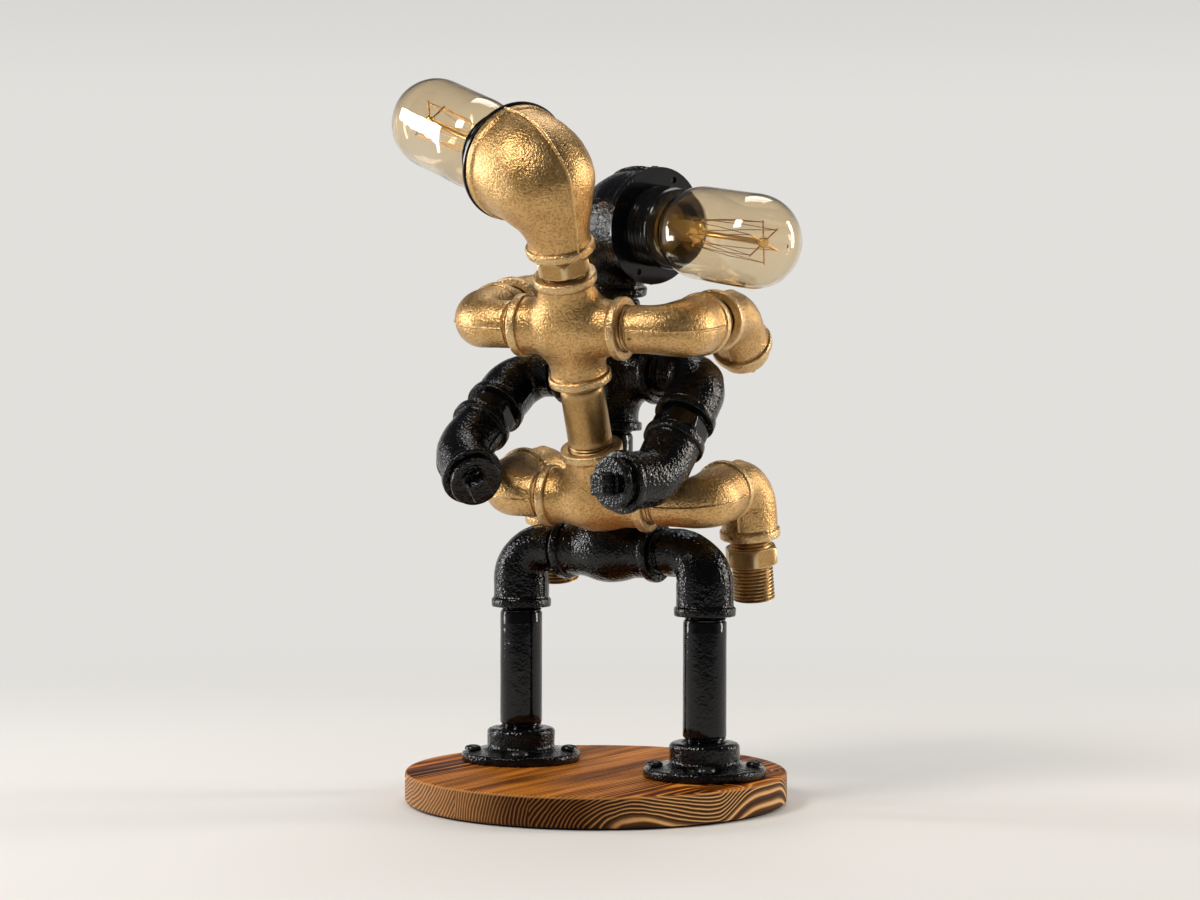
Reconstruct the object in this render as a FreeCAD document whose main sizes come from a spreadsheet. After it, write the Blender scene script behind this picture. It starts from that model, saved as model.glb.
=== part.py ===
import FreeCAD, Part
import itertools
import math
import os
import re

import Sketcher

# Pipe table lamp: two figures of half-inch pipe fittings on a round wooden base.
# The black figure stands on two floor flanges. The gold one hangs on its front, with its legs
# round the hips and its hands behind the shoulders of the first, and each head is a reducing
# elbow with an E27 lampholder and a tubular bulb.
# Millimetres. X runs along the black hips, Y away from the gold figure, Z up, and the origin is
# the middle of the base's underside.

Vector = FreeCAD.Vector
Rotation = FreeCAD.Rotation
Placement = FreeCAD.Placement

AXIS_X = Vector(1, 0, 0)
AXIS_Y = Vector(0, 1, 0)
AXIS_Z = Vector(0, 0, 1)

# Driving dimensions: alias, value (mm, or degrees for angles), meaning.
DIMENSIONS = [
    ("base_radius", 94.5, "wooden base"),
    ("base_thickness", 14.8, "wooden base"),
    ("base_edge_round", 1.5, "rounding of the base's edges"),
    ("felt_thickness", 1.0, "felt under the base"),
    ("felt_inset", 3.0, "felt edge inside the base's edge"),
    ("inlet_radius", 4.2, "drilled way for the cord"),
    ("grommet_bore", 3.0, "radius of the hole through the grommet"),
    ("grommet_lip", 6.5, "radius of the grommet's lip"),
    ("grommet_lip_thickness", 1.6, "grommet lip on the base's rim"),
    ("grommet_depth", 12.0, "grommet sleeve in the base"),
    ("stance_x", 3.6, "middle of the black figure"),
    ("stance_y", 8.0, "middle of the black figure"),
    ("pipe_radius", 10.65, "half-inch pipe"),
    ("bore_radius", 8.0, "way through pipes and fittings"),
    ("thread_radius", 10.4, "male thread, and the pipe's turned ends"),
    ("thread_clearance", 0.05, "radial gap between a male thread and its socket"),
    ("thread_engaged", 11.5, "length of thread inside a socket"),
    ("thread_bare", 3.0, "bare thread between a socket and the full pipe"),
    ("thread_chamfer", 0.8, "lead-in at the end of a thread"),
    ("socket_depth", 13.5, "depth of a tapped socket"),
    ("socket_radius", 14.0, "outside of a socket"),
    ("bead_radius", 15.1, "band at the mouth of a socket"),
    ("bead_width", 4.4, "band at the mouth of a socket"),
    ("bead_chamfer", 1.1, "band's bevelled edges"),
    ("barrel_radius", 11.4, "slim end of a street elbow"),
    ("bend_radius", 15.5, "middle line of an elbow's bend"),
    ("elbow_face", 30.3, "street elbow: middle to the socket's face"),
    ("elbow_tail", 37.4, "street elbow: middle to the end of the male leg"),
    ("elbow_thread", 15.0, "street elbow: length of the male thread"),
    ("body_radius", 13.3, "tee, cross and 45-degree elbow bodies"),
    ("tee_leg", 28.1, "tee and cross: middle to each face"),
    ("crotch_radius", 8.0, "tee and cross: hollow curve between two legs"),
    ("crotch_inset", 0.4, "tee and cross: sides of the hollow curve inside the body"),
    ("half_elbow_angle", 45.0, "turn of a 45-degree elbow"),
    ("half_elbow_leg", 24.4, "45-degree elbow: middle to each face"),
    ("half_elbow_bend", 20.0, "45-degree elbow: middle line of the bend"),
    ("nipple_gap", 11.5, "hex nipple: distance between the two sockets"),
    ("hex_height", 8.4, "hex of a nipple"),
    ("hex_across", 24.0, "hex across its flats"),
    ("hex_bevel", 1.4, "bevel of the hex's corners along the axis"),
    ("close_gap", 12.0, "close nipple in a gold arm: distance between the two sockets"),
    ("plug_collar_radius", 12.5, "square-head plug"),
    ("plug_collar_height", 4.5, "square-head plug"),
    ("plug_square", 10.0, "square-head plug, across the flats"),
    ("plug_head_height", 8.0, "square-head plug"),
    ("plug_bare", 1.5, "bare thread under the plug's collar"),
    ("flange_radius", 30.0, "floor flange"),
    ("flange_rim", 4.8, "floor flange, thickness at its edge"),
    ("rim_round", 1.6, "floor flange, rounding of its edge"),
    ("flange_plate", 5.6, "floor flange, thickness at the hub"),
    ("flange_root_radius", 20.0, "floor flange, foot of the hub"),
    ("flange_root_height", 7.4, "floor flange, top of the hub's foot"),
    ("hub_radius", 17.2, "floor flange hub"),
    ("hub_chamfer", 1.8, "floor flange hub, bevel of its top"),
    ("flange_height", 16.8, "floor flange, bottom to hub top"),
    ("screw_circle", 24.4, "floor flange, radius of the screws' circle"),
    ("screw_count", 4, "screws in each floor flange"),
    ("screw_hole_radius", 2.5, "floor flange"),
    ("screw_radius", 2.2, "wood screw shank"),
    ("screw_length", 14.0, "wood screw shank below its head"),
    ("screw_head_radius", 4.2, "wood screw"),
    ("screw_head_height", 2.0, "wood screw"),
    ("screw_turn", 33.0, "first screw of each floor flange from +X, degrees"),
    ("hip_height", 124.3, "floor to the middle line of the black hips"),
    ("black_spine", 87.4, "black hip tee to black cross"),
    ("black_lean_front", 7.5, "black neck's lean to the front, degrees"),
    ("black_lean_side", 6.2, "black neck's lean to the right, degrees"),
    ("black_gaze", -18.2, "heading of the black lamp from +X, degrees"),
    ("right_arm_drop", 47.7, "black right forearm below level, degrees"),
    ("right_hand_turn", -67.6, "black right hand about its forearm, degrees"),
    ("left_arm_drop", 36.0, "black left forearm below level, degrees"),
    ("left_hand_turn", 4.8, "black left hand about its forearm, degrees"),
    ("hips_aside", 10.5, "gold hips to the right of the black hips"),
    ("hips_nest", 0.8, "bands of one hip tee beside the body of the other"),
    ("hips_below", 5.6, "gold hips below the middle of the stud"),
    ("gold_tilt", 23.7, "gold figure leans back, degrees"),
    ("gold_sway", 5.0, "gold figure leans to the right, degrees"),
    ("gold_twist", 5.8, "gold figure turned about its spine, degrees"),
    ("gold_spine", 90.5, "gold hip tee to gold cross"),
    ("gold_lean_front", 3.8, "gold neck's lean away from the black figure, degrees"),
    ("gold_lean_side", 2.6, "gold neck's lean to the right, degrees"),
    ("gold_gaze", 147.9, "heading of the gold lamp about its neck, degrees"),
    ("gold_right_reach", -17.1, "gold right forearm against its chest line, degrees"),
    ("gold_right_hand", 6.2, "gold right hand about its forearm, degrees"),
    ("gold_left_reach", -12.6, "gold left forearm against its chest line, degrees"),
    ("gold_left_hand", -10.0, "gold left hand about its forearm, degrees"),
    ("gold_right_thigh", -12.4, "gold right thigh against its chest line, degrees"),
    ("gold_left_thigh", -10.6, "gold left thigh against its chest line, degrees"),
    ("gold_right_shin_turn", 1.7, "gold right shin turned outwards, degrees"),
    ("gold_left_shin_turn", 0.0, "gold left shin turned outwards, degrees"),
    ("foot_bare", 4.5, "gold foot nipple, bare thread above the hex"),
    ("foot_hex", 9.5, "gold foot nipple, hex"),
    ("foot_thread", 17.5, "gold foot nipple, thread below the hex"),
    ("head_leg", 37.2, "head elbow: middle to the neck face"),
    ("head_mouth", 30.0, "head elbow: middle to the mouth's face"),
    ("head_radius", 26.4, "head elbow, outside behind the mouth's band"),
    ("head_upper_radius", 25.9, "head elbow, a quarter of the way round to the neck"),
    ("head_middle_radius", 23.4, "head elbow, half-way round to the neck"),
    ("head_lower_radius", 17.6, "head elbow, three quarters of the way round to the neck"),
    ("head_bead_radius", 27.6, "head elbow, band at the mouth"),
    ("head_bead_width", 5.0, "head elbow, band at the mouth"),
    ("head_wall", 3.0, "head elbow, wall of the casting"),
    ("head_bore", 20.9, "head elbow, mouth"),
    ("neck_radius", 14.7, "head elbow, above the neck's band"),
    ("neck_bead_radius", 16.3, "head elbow, band at the neck"),
    ("ridge_height", 0.5, "head elbow, parting ridge of the casting"),
    ("ridge_width", 1.2, "head elbow, parting ridge of the casting"),
    ("chin_reach", 22.0, "head elbow, inner corner ahead of the neck's middle line"),
    ("chin_drop", 30.0, "head elbow, inner corner below the mouth's middle line"),
    ("plate_radius", 28.4, "lampholder plate"),
    ("plate_thickness", 1.0, "lampholder plate"),
    ("plate_hole_radius", 1.5, "lampholder plate, screw holes"),
    ("plate_hole_circle", 24.0, "lampholder plate, screw holes from the middle"),
    ("plate_turn", -25.6, "lampholder plate's screw line from the neck's line, degrees"),
    ("skirt_radius", 19.7, "lampholder body"),
    ("skirt_bore", 14.5, "lampholder body"),
    ("skirt_out", 16.0, "lampholder body ahead of the plate"),
    ("skirt_in", 16.0, "lampholder body behind the plate"),
    ("collar_radius", 20.8, "lampholder collar that centres it in the mouth"),
    ("collar_width", 3.0, "lampholder collar"),
    ("shell_thickness", 0.6, "brass screw shell"),
    ("shell_length", 20.0, "brass screw shell"),
    ("insert_thickness", 5.0, "ceramic insert at the bottom of the lampholder"),
    ("contact_radius", 3.6, "centre contact"),
    ("contact_height", 1.4, "centre contact above the ceramic"),
    ("cap_radius", 13.1, "bulb cap"),
    ("cap_clearance", 0.12, "radial gap between the bulb cap and its shell"),
    ("cap_length", 19.5, "bulb cap, without its contact"),
    ("cap_insulator", 4.0, "bulb cap, glass insulator"),
    ("cap_tip_radius", 4.5, "bulb cap, solder contact"),
    ("cap_tip_height", 2.0, "bulb cap, solder contact"),
    ("tip_clearance", 0.2, "between the bulb's contact and the holder's"),
    ("bulb_radius", 22.2, "bulb glass"),
    ("bulb_wall", 0.8, "bulb glass"),
    ("bulb_reach", 92.0, "tip of the glass ahead of the plate"),
    ("bulb_shoulder", 34.5, "where the glass becomes a straight tube, ahead of the plate"),
    ("stem_radius", 5.2, "glass stem in the bulb"),
    ("stem_flare_radius", 11.0, "flare of the stem, sealed to the bulb's neck"),
    ("stem_height", 24.0, "glass stem above the bulb's neck"),
    ("stem_flare_height", 9.0, "flare of the stem"),
    ("stem_rod_radius", 1.4, "glass rod on the stem"),
    ("stem_button_radius", 2.8, "glass button at the rod's end"),
    ("stem_button_height", 4.0, "glass button at the rod's end"),
    ("stem_tip_gap", 14.0, "button to the tip of the glass"),
    ("filament_radius", 0.2, "filament wire"),
    ("hook_radius", 0.4, "filament hooks on the stem and the button"),
    ("hook_overhang", 0.8, "hook past the strands that hang on it"),
    ("filament_low_radius", 6.5, "filament cage at the stem"),
    ("filament_high_radius", 9.5, "filament cage at its widest"),
    ("filament_count", 8, "strands of the filament cage"),
    ("link_radius", 4.0, "hollow stud that joins the two figures"),
    ("link_bore", 2.6, "hollow stud"),
    ("link_lift", 0.4, "stud above the black hip tee"),
    ("link_seat", 1.6, "stud inside each pipe's bore"),
]

QUARTER_TURN = 90
LARGEST_CROTCH_ANGLE = 120
SMALLEST_CUT = 0.001
NO_LENGTH = 1e-12

SHEET_NAME = "Dimensions"
ALIASES = [alias for alias, value, meaning in DIMENSIONS]
ALIAS_PATTERN = re.compile(r"\b(" + "|".join(ALIASES) + r")\b")

document = FreeCAD.newDocument("PipeLamp")


def make_sheet():
    """Write the driving dimensions into a spreadsheet, each with its alias."""
    made = document.addObject("Spreadsheet::Sheet", SHEET_NAME)
    for row, (alias, value, meaning) in enumerate(DIMENSIONS, start=1):
        made.set(f"A{row}", alias)
        made.set(f"B{row}", str(value))
        made.set(f"C{row}", meaning)
        made.setAlias(f"B{row}", alias)
    document.recompute()
    return made


sheet = make_sheet()


def dim(alias):
    """Value of one driving dimension."""
    return float(sheet.get(alias))


def formula(text):
    """Point each alias in an expression at the spreadsheet."""
    return ALIAS_PATTERN.sub(lambda found: f"{SHEET_NAME}.{found.group(0)}", str(text))


def bind(target, **formulas):
    """Tie properties of an object to formulas of the driving dimensions."""
    for name, text in formulas.items():
        target.setExpression(name, formula(text))


def stand(target, axis, start):
    """Turn an object's Z to an axis through the origin and tie its start along that axis."""
    target.Placement = Placement(Vector(), Rotation(AXIS_Z, axis))
    if start == "0":
        return
    for name, component in zip("xyz", axis):
        if abs(component) > NO_LENGTH:
            target.setExpression(f"Placement.Base.{name}", formula(f"({start}) * {component:.12g}"))


def cylinder(radius, length, axis=AXIS_Z, start="0"):
    made = document.addObject("Part::Cylinder", "cylinder")
    bind(made, Radius=radius, Height=length)
    stand(made, axis, start)
    return made


def cone(start_radius, end_radius, length, axis=AXIS_Z, start="0"):
    made = document.addObject("Part::Cone", "cone")
    bind(made, Radius1=start_radius, Radius2=end_radius, Height=length)
    stand(made, axis, start)
    return made


def hexagon(across, height, start="0"):
    """Hexagonal prism along Z, from its size across the flats."""
    made = document.addObject("Part::Prism", "hexagon")
    made.Polygon = 6
    bind(made, Circumradius=f"{across} / 2 / cos(30)", Height=height)
    stand(made, AXIS_Z, start)
    return made


def circle(radius, placement):
    made = document.addObject("Part::Circle", "section")
    bind(made, Radius=radius)
    made.Placement = placement
    return made


def fuse(shapes, label="fusion"):
    made = document.addObject("Part::MultiFuse", label)
    made.Shapes = shapes
    return made


def cut(base, tool, label="difference"):
    made = document.addObject("Part::Cut", label)
    made.Base = base
    made.Tool = tool
    return made


def common(base, tool, label="common"):
    made = document.addObject("Part::Common", label)
    made.Base = base
    made.Tool = tool
    return made


def bead(axis, face, radius="bead_radius", inner="socket_radius", width="bead_width"):
    """Bevelled band round a socket, its end face at a distance along the axis."""
    return [
        cone(inner, radius, "bead_chamfer", axis, f"{face} - {width}"),
        cylinder(radius, f"{width} - 2 * bead_chamfer", axis, f"{face} - {width} + bead_chamfer"),
        cone(radius, inner, "bead_chamfer", axis, f"{face} - bead_chamfer"),
    ]


def socket(axis, face):
    """Tapped hole of a socket and the way behind it, to be cut out."""
    return [
        cylinder("thread_radius + thread_clearance", "socket_depth", axis, f"{face} - socket_depth"),
        cylinder("bore_radius", face, axis),
    ]


def male_thread(axis, end, length):
    """Solid male thread whose bevelled end lies at a distance along the axis."""
    return [
        cylinder("thread_radius", f"({length}) - thread_chamfer", axis, f"({end}) - ({length})"),
        cone("thread_radius", "thread_radius - thread_chamfer", "thread_chamfer", axis,
             f"({end}) - thread_chamfer"),
    ]


def quarter_bend(radius, bend="bend_radius"):
    """Quarter of a torus that joins the -X axis to the +Z axis."""
    made = document.addObject("Part::Torus", "bend")
    bind(made, Radius1=bend, Radius2=radius)
    made.Angle3 = QUARTER_TURN
    turn = Rotation(AXIS_X, Vector(), AXIS_Y * -1, "ZXY")
    made.Placement = Placement(Vector(), turn)
    bind(made, **{"Placement.Base.x": f"-({bend})", "Placement.Base.z": bend})
    return made


def tapering_bend():
    """Quarter bend from -X to +Z that swells from the barrel's radius to the socket's."""
    start = circle("barrel_radius", Placement(Vector(), Rotation(AXIS_Z, AXIS_X)))
    bind(start, **{"Placement.Base.x": "-bend_radius"})
    end = circle("socket_radius", Placement())
    bind(end, **{"Placement.Base.z": "bend_radius"})
    spine = document.addObject("Part::Circle", "spine")
    bind(spine, Radius="bend_radius")
    spine.Angle1 = 3 * QUARTER_TURN
    spine.Angle2 = 4 * QUARTER_TURN
    spine.Placement = Placement(Vector(), Rotation(AXIS_X, QUARTER_TURN))
    bind(spine, **{"Placement.Base.x": "-bend_radius", "Placement.Base.z": "bend_radius"})
    document.recompute()
    made = document.addObject("Part::Sweep", "tapering_bend")
    made.Sections = [start, end]
    made.Spine = (spine, ["Edge1"])
    made.Solid = True
    made.Frenet = True
    return made


def frame(origin, x_axis, z_axis):
    """Placement with the given origin, Z along z_axis and X as near as can be to x_axis."""
    return Placement(origin, Rotation(x_axis, Vector(), z_axis, "ZXY"))


def node(made, label, placement, hole=None):
    """Name a finished sub-part, drill it by a tool that stands in the model, and place it."""
    if hole is not None:
        hole.Placement = placement.inverse().multiply(hole.Placement)
        made = cut(made, hole)
    made.Label = label
    made.Placement = placement
    NODES.append(made)
    return made


NODES = []


# Fittings. Each is built about its own middle and then placed.


def street_elbow(label, placement):
    """90-degree elbow, male thread along -X and socket along +Z."""
    minus_x = AXIS_X * -1
    outside = [
        tapering_bend(),
        cylinder("barrel_radius", "elbow_tail - elbow_thread - bend_radius", minus_x, "bend_radius"),
        cylinder("socket_radius", "elbow_face - bead_width - bend_radius", AXIS_Z, "bend_radius"),
    ]
    outside += male_thread(minus_x, "elbow_tail", "elbow_thread")
    outside += bead(AXIS_Z, "elbow_face")
    inside = [
        quarter_bend("bore_radius"),
        cylinder("bore_radius", "elbow_tail - bend_radius", minus_x, "bend_radius"),
        cylinder("bore_radius", "elbow_face - bend_radius", AXIS_Z, "bend_radius"),
        cylinder("thread_radius + thread_clearance", "socket_depth", AXIS_Z,
                 "elbow_face - socket_depth"),
    ]
    return node(cut(fuse(outside), fuse(inside)), label, placement)


def half_bend(radius):
    """Bend of the 45-degree elbow, from the -X axis to the axis of its outlet."""
    made = document.addObject("Part::Torus", "half_bend")
    bind(made, Radius1="half_elbow_bend", Radius2=radius, Angle3="half_elbow_angle")
    made.Placement = Placement(Vector(), Rotation(AXIS_Z * -1, Vector(), AXIS_Y * -1, "ZXY"))
    bind(made, **{
        "Placement.Base.x": "-half_elbow_bend * tan(half_elbow_angle / 2)",
        "Placement.Base.z": "half_elbow_bend",
    })
    return made


def half_elbow(label, placement):
    """45-degree elbow, sockets along -X and along its outlet between +X and +Z."""
    angle = math.radians(dim("half_elbow_angle"))
    outlet = Vector(math.cos(angle), 0, math.sin(angle))
    tangent = "half_elbow_bend * tan(half_elbow_angle / 2)"
    outside = [half_bend("body_radius")]
    inside = [half_bend("bore_radius")]
    for axis in (AXIS_X * -1, outlet):
        outside.append(cylinder("body_radius", f"half_elbow_leg - {tangent}", axis, tangent))
        outside += bead(axis, "half_elbow_leg", inner="body_radius")
        inside.append(cylinder("bore_radius", f"half_elbow_leg - {tangent}", axis, tangent))
        inside.append(cylinder("thread_radius + thread_clearance", "socket_depth", axis,
                               "half_elbow_leg - socket_depth"))
    return node(cut(fuse(outside), fuse(inside)), label, placement)


def crotch(first, second):
    """Bend that fills the corner between two legs up to a hollow curve."""
    corner = first.getAngle(second)
    middle_line = dim("crotch_radius") + dim("body_radius") - dim("crotch_inset")
    centre = (first + second).normalize() * (middle_line / math.sin(corner / 2))
    start = first * (middle_line / math.tan(corner / 2)) - centre
    end = second * (middle_line / math.tan(corner / 2)) - centre
    made = document.addObject("Part::Torus", "crotch")
    bind(made, Radius1="crotch_radius + body_radius - crotch_inset",
         Radius2="body_radius - crotch_inset")
    made.Angle3 = 2 * QUARTER_TURN - math.degrees(corner)
    made.Placement = frame(centre, start, start.cross(end))
    return made


def branch_fitting(label, placement, axes, hole=None):
    """Tee or cross: one socket along each axis from the middle."""
    outside = []
    for first, second in itertools.combinations(axes, 2):
        if math.degrees(first.getAngle(second)) < LARGEST_CROTCH_ANGLE:
            outside.append(crotch(first, second))
    inside = []
    for axis in axes:
        outside.append(cylinder("body_radius", "tee_leg", axis))
        outside += bead(axis, "tee_leg", inner="body_radius")
        inside += socket(axis, "tee_leg")
    return node(cut(fuse(outside), fuse(inside)), label, placement, hole)


def bevelled_hex(height, start):
    """Hex whose corners are turned down by a cone at each end."""
    blank = hexagon("hex_across", height, start)
    widest = "(hex_across / 2 / cos(30))"
    turned = [
        cone("hex_across / 2", widest, "hex_bevel", AXIS_Z, start),
        cylinder(widest, f"{height} - 2 * hex_bevel", AXIS_Z, f"{start} + hex_bevel"),
        cone(widest, "hex_across / 2", "hex_bevel", AXIS_Z, f"{start} + {height} - hex_bevel"),
    ]
    return common(blank, fuse(turned))


def hex_nipple(label, placement):
    """Hex nipple about its middle, a thread each way along Z."""
    reach = "nipple_gap / 2 + thread_engaged"
    outside = [bevelled_hex("hex_height", "-hex_height / 2")]
    outside += male_thread(AXIS_Z, reach, reach)
    outside += male_thread(AXIS_Z * -1, reach, reach)
    inside = cylinder("bore_radius", f"2 * ({reach})", AXIS_Z, f"-({reach})")
    return node(cut(fuse(outside), inside), label, placement)


def close_nipple(label, placement):
    """Nipple that is thread from end to end."""
    reach = "close_gap / 2 + thread_engaged"
    outside = male_thread(AXIS_Z, reach, reach) + male_thread(AXIS_Z * -1, reach, reach)
    inside = cylinder("bore_radius", f"2 * ({reach})", AXIS_Z, f"-({reach})")
    return node(cut(fuse(outside), inside), label, placement)


def foot_nipple(label, placement):
    """Hex nipple whose far thread is left open: the socket's face is at the origin, Z outwards."""
    total = "(foot_bare + foot_hex + foot_thread)"
    outside = [bevelled_hex("foot_hex", "foot_bare")]
    outside += male_thread(AXIS_Z, total, total)
    outside += male_thread(AXIS_Z * -1, "thread_engaged", "thread_engaged")
    inside = cylinder("bore_radius", f"{total} + thread_engaged", AXIS_Z, "-thread_engaged")
    return node(cut(fuse(outside), inside), label, placement)


def square_plug(label, placement):
    """Square-head plug, the socket's face at the origin and the head along +Z."""
    outside = male_thread(AXIS_Z * -1, "thread_engaged", "thread_engaged")
    outside.append(cylinder("thread_radius", "plug_bare", AXIS_Z))
    outside.append(cylinder("plug_collar_radius", "plug_collar_height", AXIS_Z, "plug_bare"))
    head = document.addObject("Part::Box", "head")
    bind(head, Length="plug_square", Width="plug_square", Height="plug_head_height")
    bind(head, **{
        "Placement.Base.x": "-plug_square / 2",
        "Placement.Base.y": "-plug_square / 2",
        "Placement.Base.z": "plug_bare + plug_collar_height",
    })
    outside.append(head)
    return node(fuse(outside), label, placement)


def straight_pipe(label, placement, visible, hole=None):
    """Pipe along Z whose visible length starts at the origin, with a turned thread each end."""
    outside = [
        cylinder("pipe_radius", f"{visible} - 2 * thread_bare", AXIS_Z, "thread_bare"),
        cylinder("thread_radius", f"{visible} + 2 * thread_engaged", AXIS_Z, "-thread_engaged"),
    ]
    inside = cylinder("bore_radius", f"{visible} + 2 * thread_engaged", AXIS_Z, "-thread_engaged")
    return node(cut(fuse(outside), inside), label, placement, hole)


# Turned pieces, as bodies with a sketched profile.


def origin_plane(body, role):
    return next(item for item in body.Origin.OriginFeatures if item.Role == role)


def sketched_polygon(body, points, plane="XZ_Plane"):
    """Closed polygon sketch; each point is a pair of formulas, tied by constraints."""
    sketch = body.newObject("Sketcher::SketchObject", "profile")
    sketch.AttachmentSupport = (origin_plane(body, plane), [""])
    sketch.MapMode = "FlatFace"
    spots = [Vector(evaluate(x), evaluate(y), 0) for x, y in points]
    count = len(spots)
    for index in range(count):
        sketch.addGeometry(Part.LineSegment(spots[index], spots[(index + 1) % count]))
    for index in range(count):
        sketch.addConstraint(Sketcher.Constraint("Coincident", index, 2, (index + 1) % count, 1))
    for index, (x, y) in enumerate(points):
        for kind, text, line, value in (
            ("DistanceX", x, -2, spots[index].x),
            ("DistanceY", y, -1, spots[index].y),
        ):
            if text == "0":
                sketch.addConstraint(Sketcher.Constraint("PointOnObject", index, 1, line))
                continue
            sketch.addConstraint(Sketcher.Constraint(kind, -1, 1, index, 1, value))
            sketch.setExpression(f"Constraints[{sketch.ConstraintCount - 1}]", formula(text))
    return sketch


def evaluate(text):
    """Value of a formula of the driving dimensions."""
    return float(sheet.evalExpression(str(text)))


def revolved_body(label, points):
    """Body turned about Z from a polygon of (radius, height) formulas."""
    body = document.addObject("PartDesign::Body", label)
    sketch = sketched_polygon(body, points)
    turned = body.newObject("PartDesign::Revolution", "turned")
    turned.Profile = sketch
    turned.ReferenceAxis = (sketch, ["V_Axis"])
    turned.Angle = 360
    body.Tip = turned
    return body


def drill_pattern(body, circle_radius, hole_radius, count):
    """Holes along Z through a body, repeated round its axis."""
    sketch = body.newObject("Sketcher::SketchObject", "hole")
    sketch.AttachmentSupport = (origin_plane(body, "XY_Plane"), [""])
    sketch.MapMode = "FlatFace"
    centre = Vector(evaluate(circle_radius), 0, 0)
    sketch.addGeometry(Part.Circle(centre, AXIS_Z, evaluate(hole_radius)))
    sketch.addConstraint(Sketcher.Constraint("PointOnObject", 0, 3, -1))
    sketch.addConstraint(Sketcher.Constraint("DistanceX", -1, 1, 0, 3, centre.x))
    sketch.setExpression("Constraints[1]", formula(circle_radius))
    sketch.addConstraint(Sketcher.Constraint("Radius", 0, evaluate(hole_radius)))
    sketch.setExpression("Constraints[2]", formula(hole_radius))
    document.recompute()
    before = body.Shape.Volume
    pocket = body.newObject("PartDesign::Pocket", "drilled")
    pocket.Profile = sketch
    pocket.Type = "ThroughAll"
    pocket.Midplane = True
    body.Tip = pocket
    pattern = body.newObject("PartDesign::PolarPattern", "holes")
    pattern.Originals = [pocket]
    pattern.Axis = (origin_plane(body, "Z_Axis"), [""])
    pattern.Angle = 360
    bind(pattern, Occurrences=count)
    body.Tip = pattern
    document.recompute()
    if body.Shape.Volume > before - SMALLEST_CUT:
        raise RuntimeError(f"{body.Label}: the holes cut nothing")


def floor_flange(label, placement):
    """Floor flange on its underside, with its screw holes."""
    body = revolved_body(label, [
        ("thread_radius + thread_clearance", "0"),
        ("flange_radius - rim_round / 2", "0"),
        ("flange_radius", "rim_round / 2"),
        ("flange_radius", "flange_rim - rim_round"),
        ("flange_radius - rim_round", "flange_rim"),
        ("flange_root_radius", "flange_plate"),
        ("hub_radius", "flange_root_height"),
        ("hub_radius", "flange_height - hub_chamfer"),
        ("hub_radius - hub_chamfer", "flange_height"),
        ("thread_radius + thread_clearance", "flange_height"),
    ])
    drill_pattern(body, "screw_circle", "screw_hole_radius", "screw_count")
    return node(body, label, placement)


# Reducing elbow of a head, a casting that opens from the neck to the mouth.


def head_section(turn, radius, offset):
    """One round section of the head, in a plane through the inner corner at a turn (degrees)."""
    angle = math.radians(turn)
    outwards = Vector(-math.sin(angle), 0, math.cos(angle))
    along = Vector(math.cos(angle), 0, math.sin(angle))
    corner = Vector(dim("chin_reach"), 0, -dim("chin_drop"))
    centre = corner + outwards * (offset + radius)
    made = document.addObject("Part::Circle", "section")
    made.Radius = radius
    made.Placement = Placement(centre, Rotation(AXIS_Y, Vector(), along, "ZXY"))
    return made


HEAD_RADII = ("head_radius", "head_upper_radius", "head_middle_radius", "head_lower_radius",
              "neck_radius")


def head_form(inset):
    """Casting swept through round sections from mouth to neck, each made smaller by an inset."""
    mouth_offset = dim("chin_drop") - dim("head_radius")
    neck_offset = dim("chin_reach") - dim("neck_radius")
    steps = len(HEAD_RADII) - 1
    sections = []
    for step, alias in enumerate(HEAD_RADII):
        offset = mouth_offset + (neck_offset - mouth_offset) * step / steps
        sections.append(head_section(QUARTER_TURN * step / steps, dim(alias) - inset,
                                     offset + inset))
    spine = document.addObject("Part::Circle", "head_spine")
    bind(spine, Radius="chin_drop")
    spine.Angle1 = QUARTER_TURN
    spine.Angle2 = 2 * QUARTER_TURN
    corner = Vector(dim("chin_reach"), 0, -dim("chin_drop"))
    spine.Placement = Placement(corner, Rotation(AXIS_X, Vector(), AXIS_Y * -1, "ZXY"))
    document.recompute()
    made = document.addObject("Part::Sweep", "head_body")
    made.Sections = sections
    made.Spine = (spine, ["Edge1"])
    made.Solid = True
    made.Frenet = True
    return made


def parting_ridge():
    """Low ridge round the head where the halves of its mould met."""
    slab = document.addObject("Part::Box", "parting")
    bind(slab, Length="2 * chin_drop + 2 * head_radius", Width="ridge_width",
         Height="2 * chin_drop + 2 * head_radius")
    bind(slab, **{
        "Placement.Base.x": "-chin_drop - head_radius",
        "Placement.Base.y": "-ridge_width / 2",
        "Placement.Base.z": "-chin_drop - head_radius",
    })
    return common(head_form(-dim("ridge_height")), slab)


def head_elbow(label, placement):
    """Reducing elbow: neck socket along -Z, wide mouth along +X."""
    minus_z = AXIS_Z * -1
    outside = [
        head_form(0.0),
        parting_ridge(),
        cylinder("head_radius", "head_mouth - chin_reach - head_bead_width", AXIS_X, "chin_reach"),
        cylinder("neck_radius", "head_leg - chin_drop - bead_width", minus_z, "chin_drop"),
    ]
    outside += bead(AXIS_X, "head_mouth", "head_bead_radius", "head_radius", "head_bead_width")
    outside += bead(minus_z, "head_leg", "neck_bead_radius", "neck_radius")
    inside = [
        head_form(dim("head_wall")),
        cylinder("head_bore", "head_mouth - chin_reach", AXIS_X, "chin_reach"),
        cylinder("thread_radius + thread_clearance", "socket_depth", minus_z,
                 "head_leg - socket_depth"),
    ]
    return node(cut(fuse(outside), fuse(inside)), label, placement)


# Lampholder and bulb, along +Z from the plate's front face.


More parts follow.
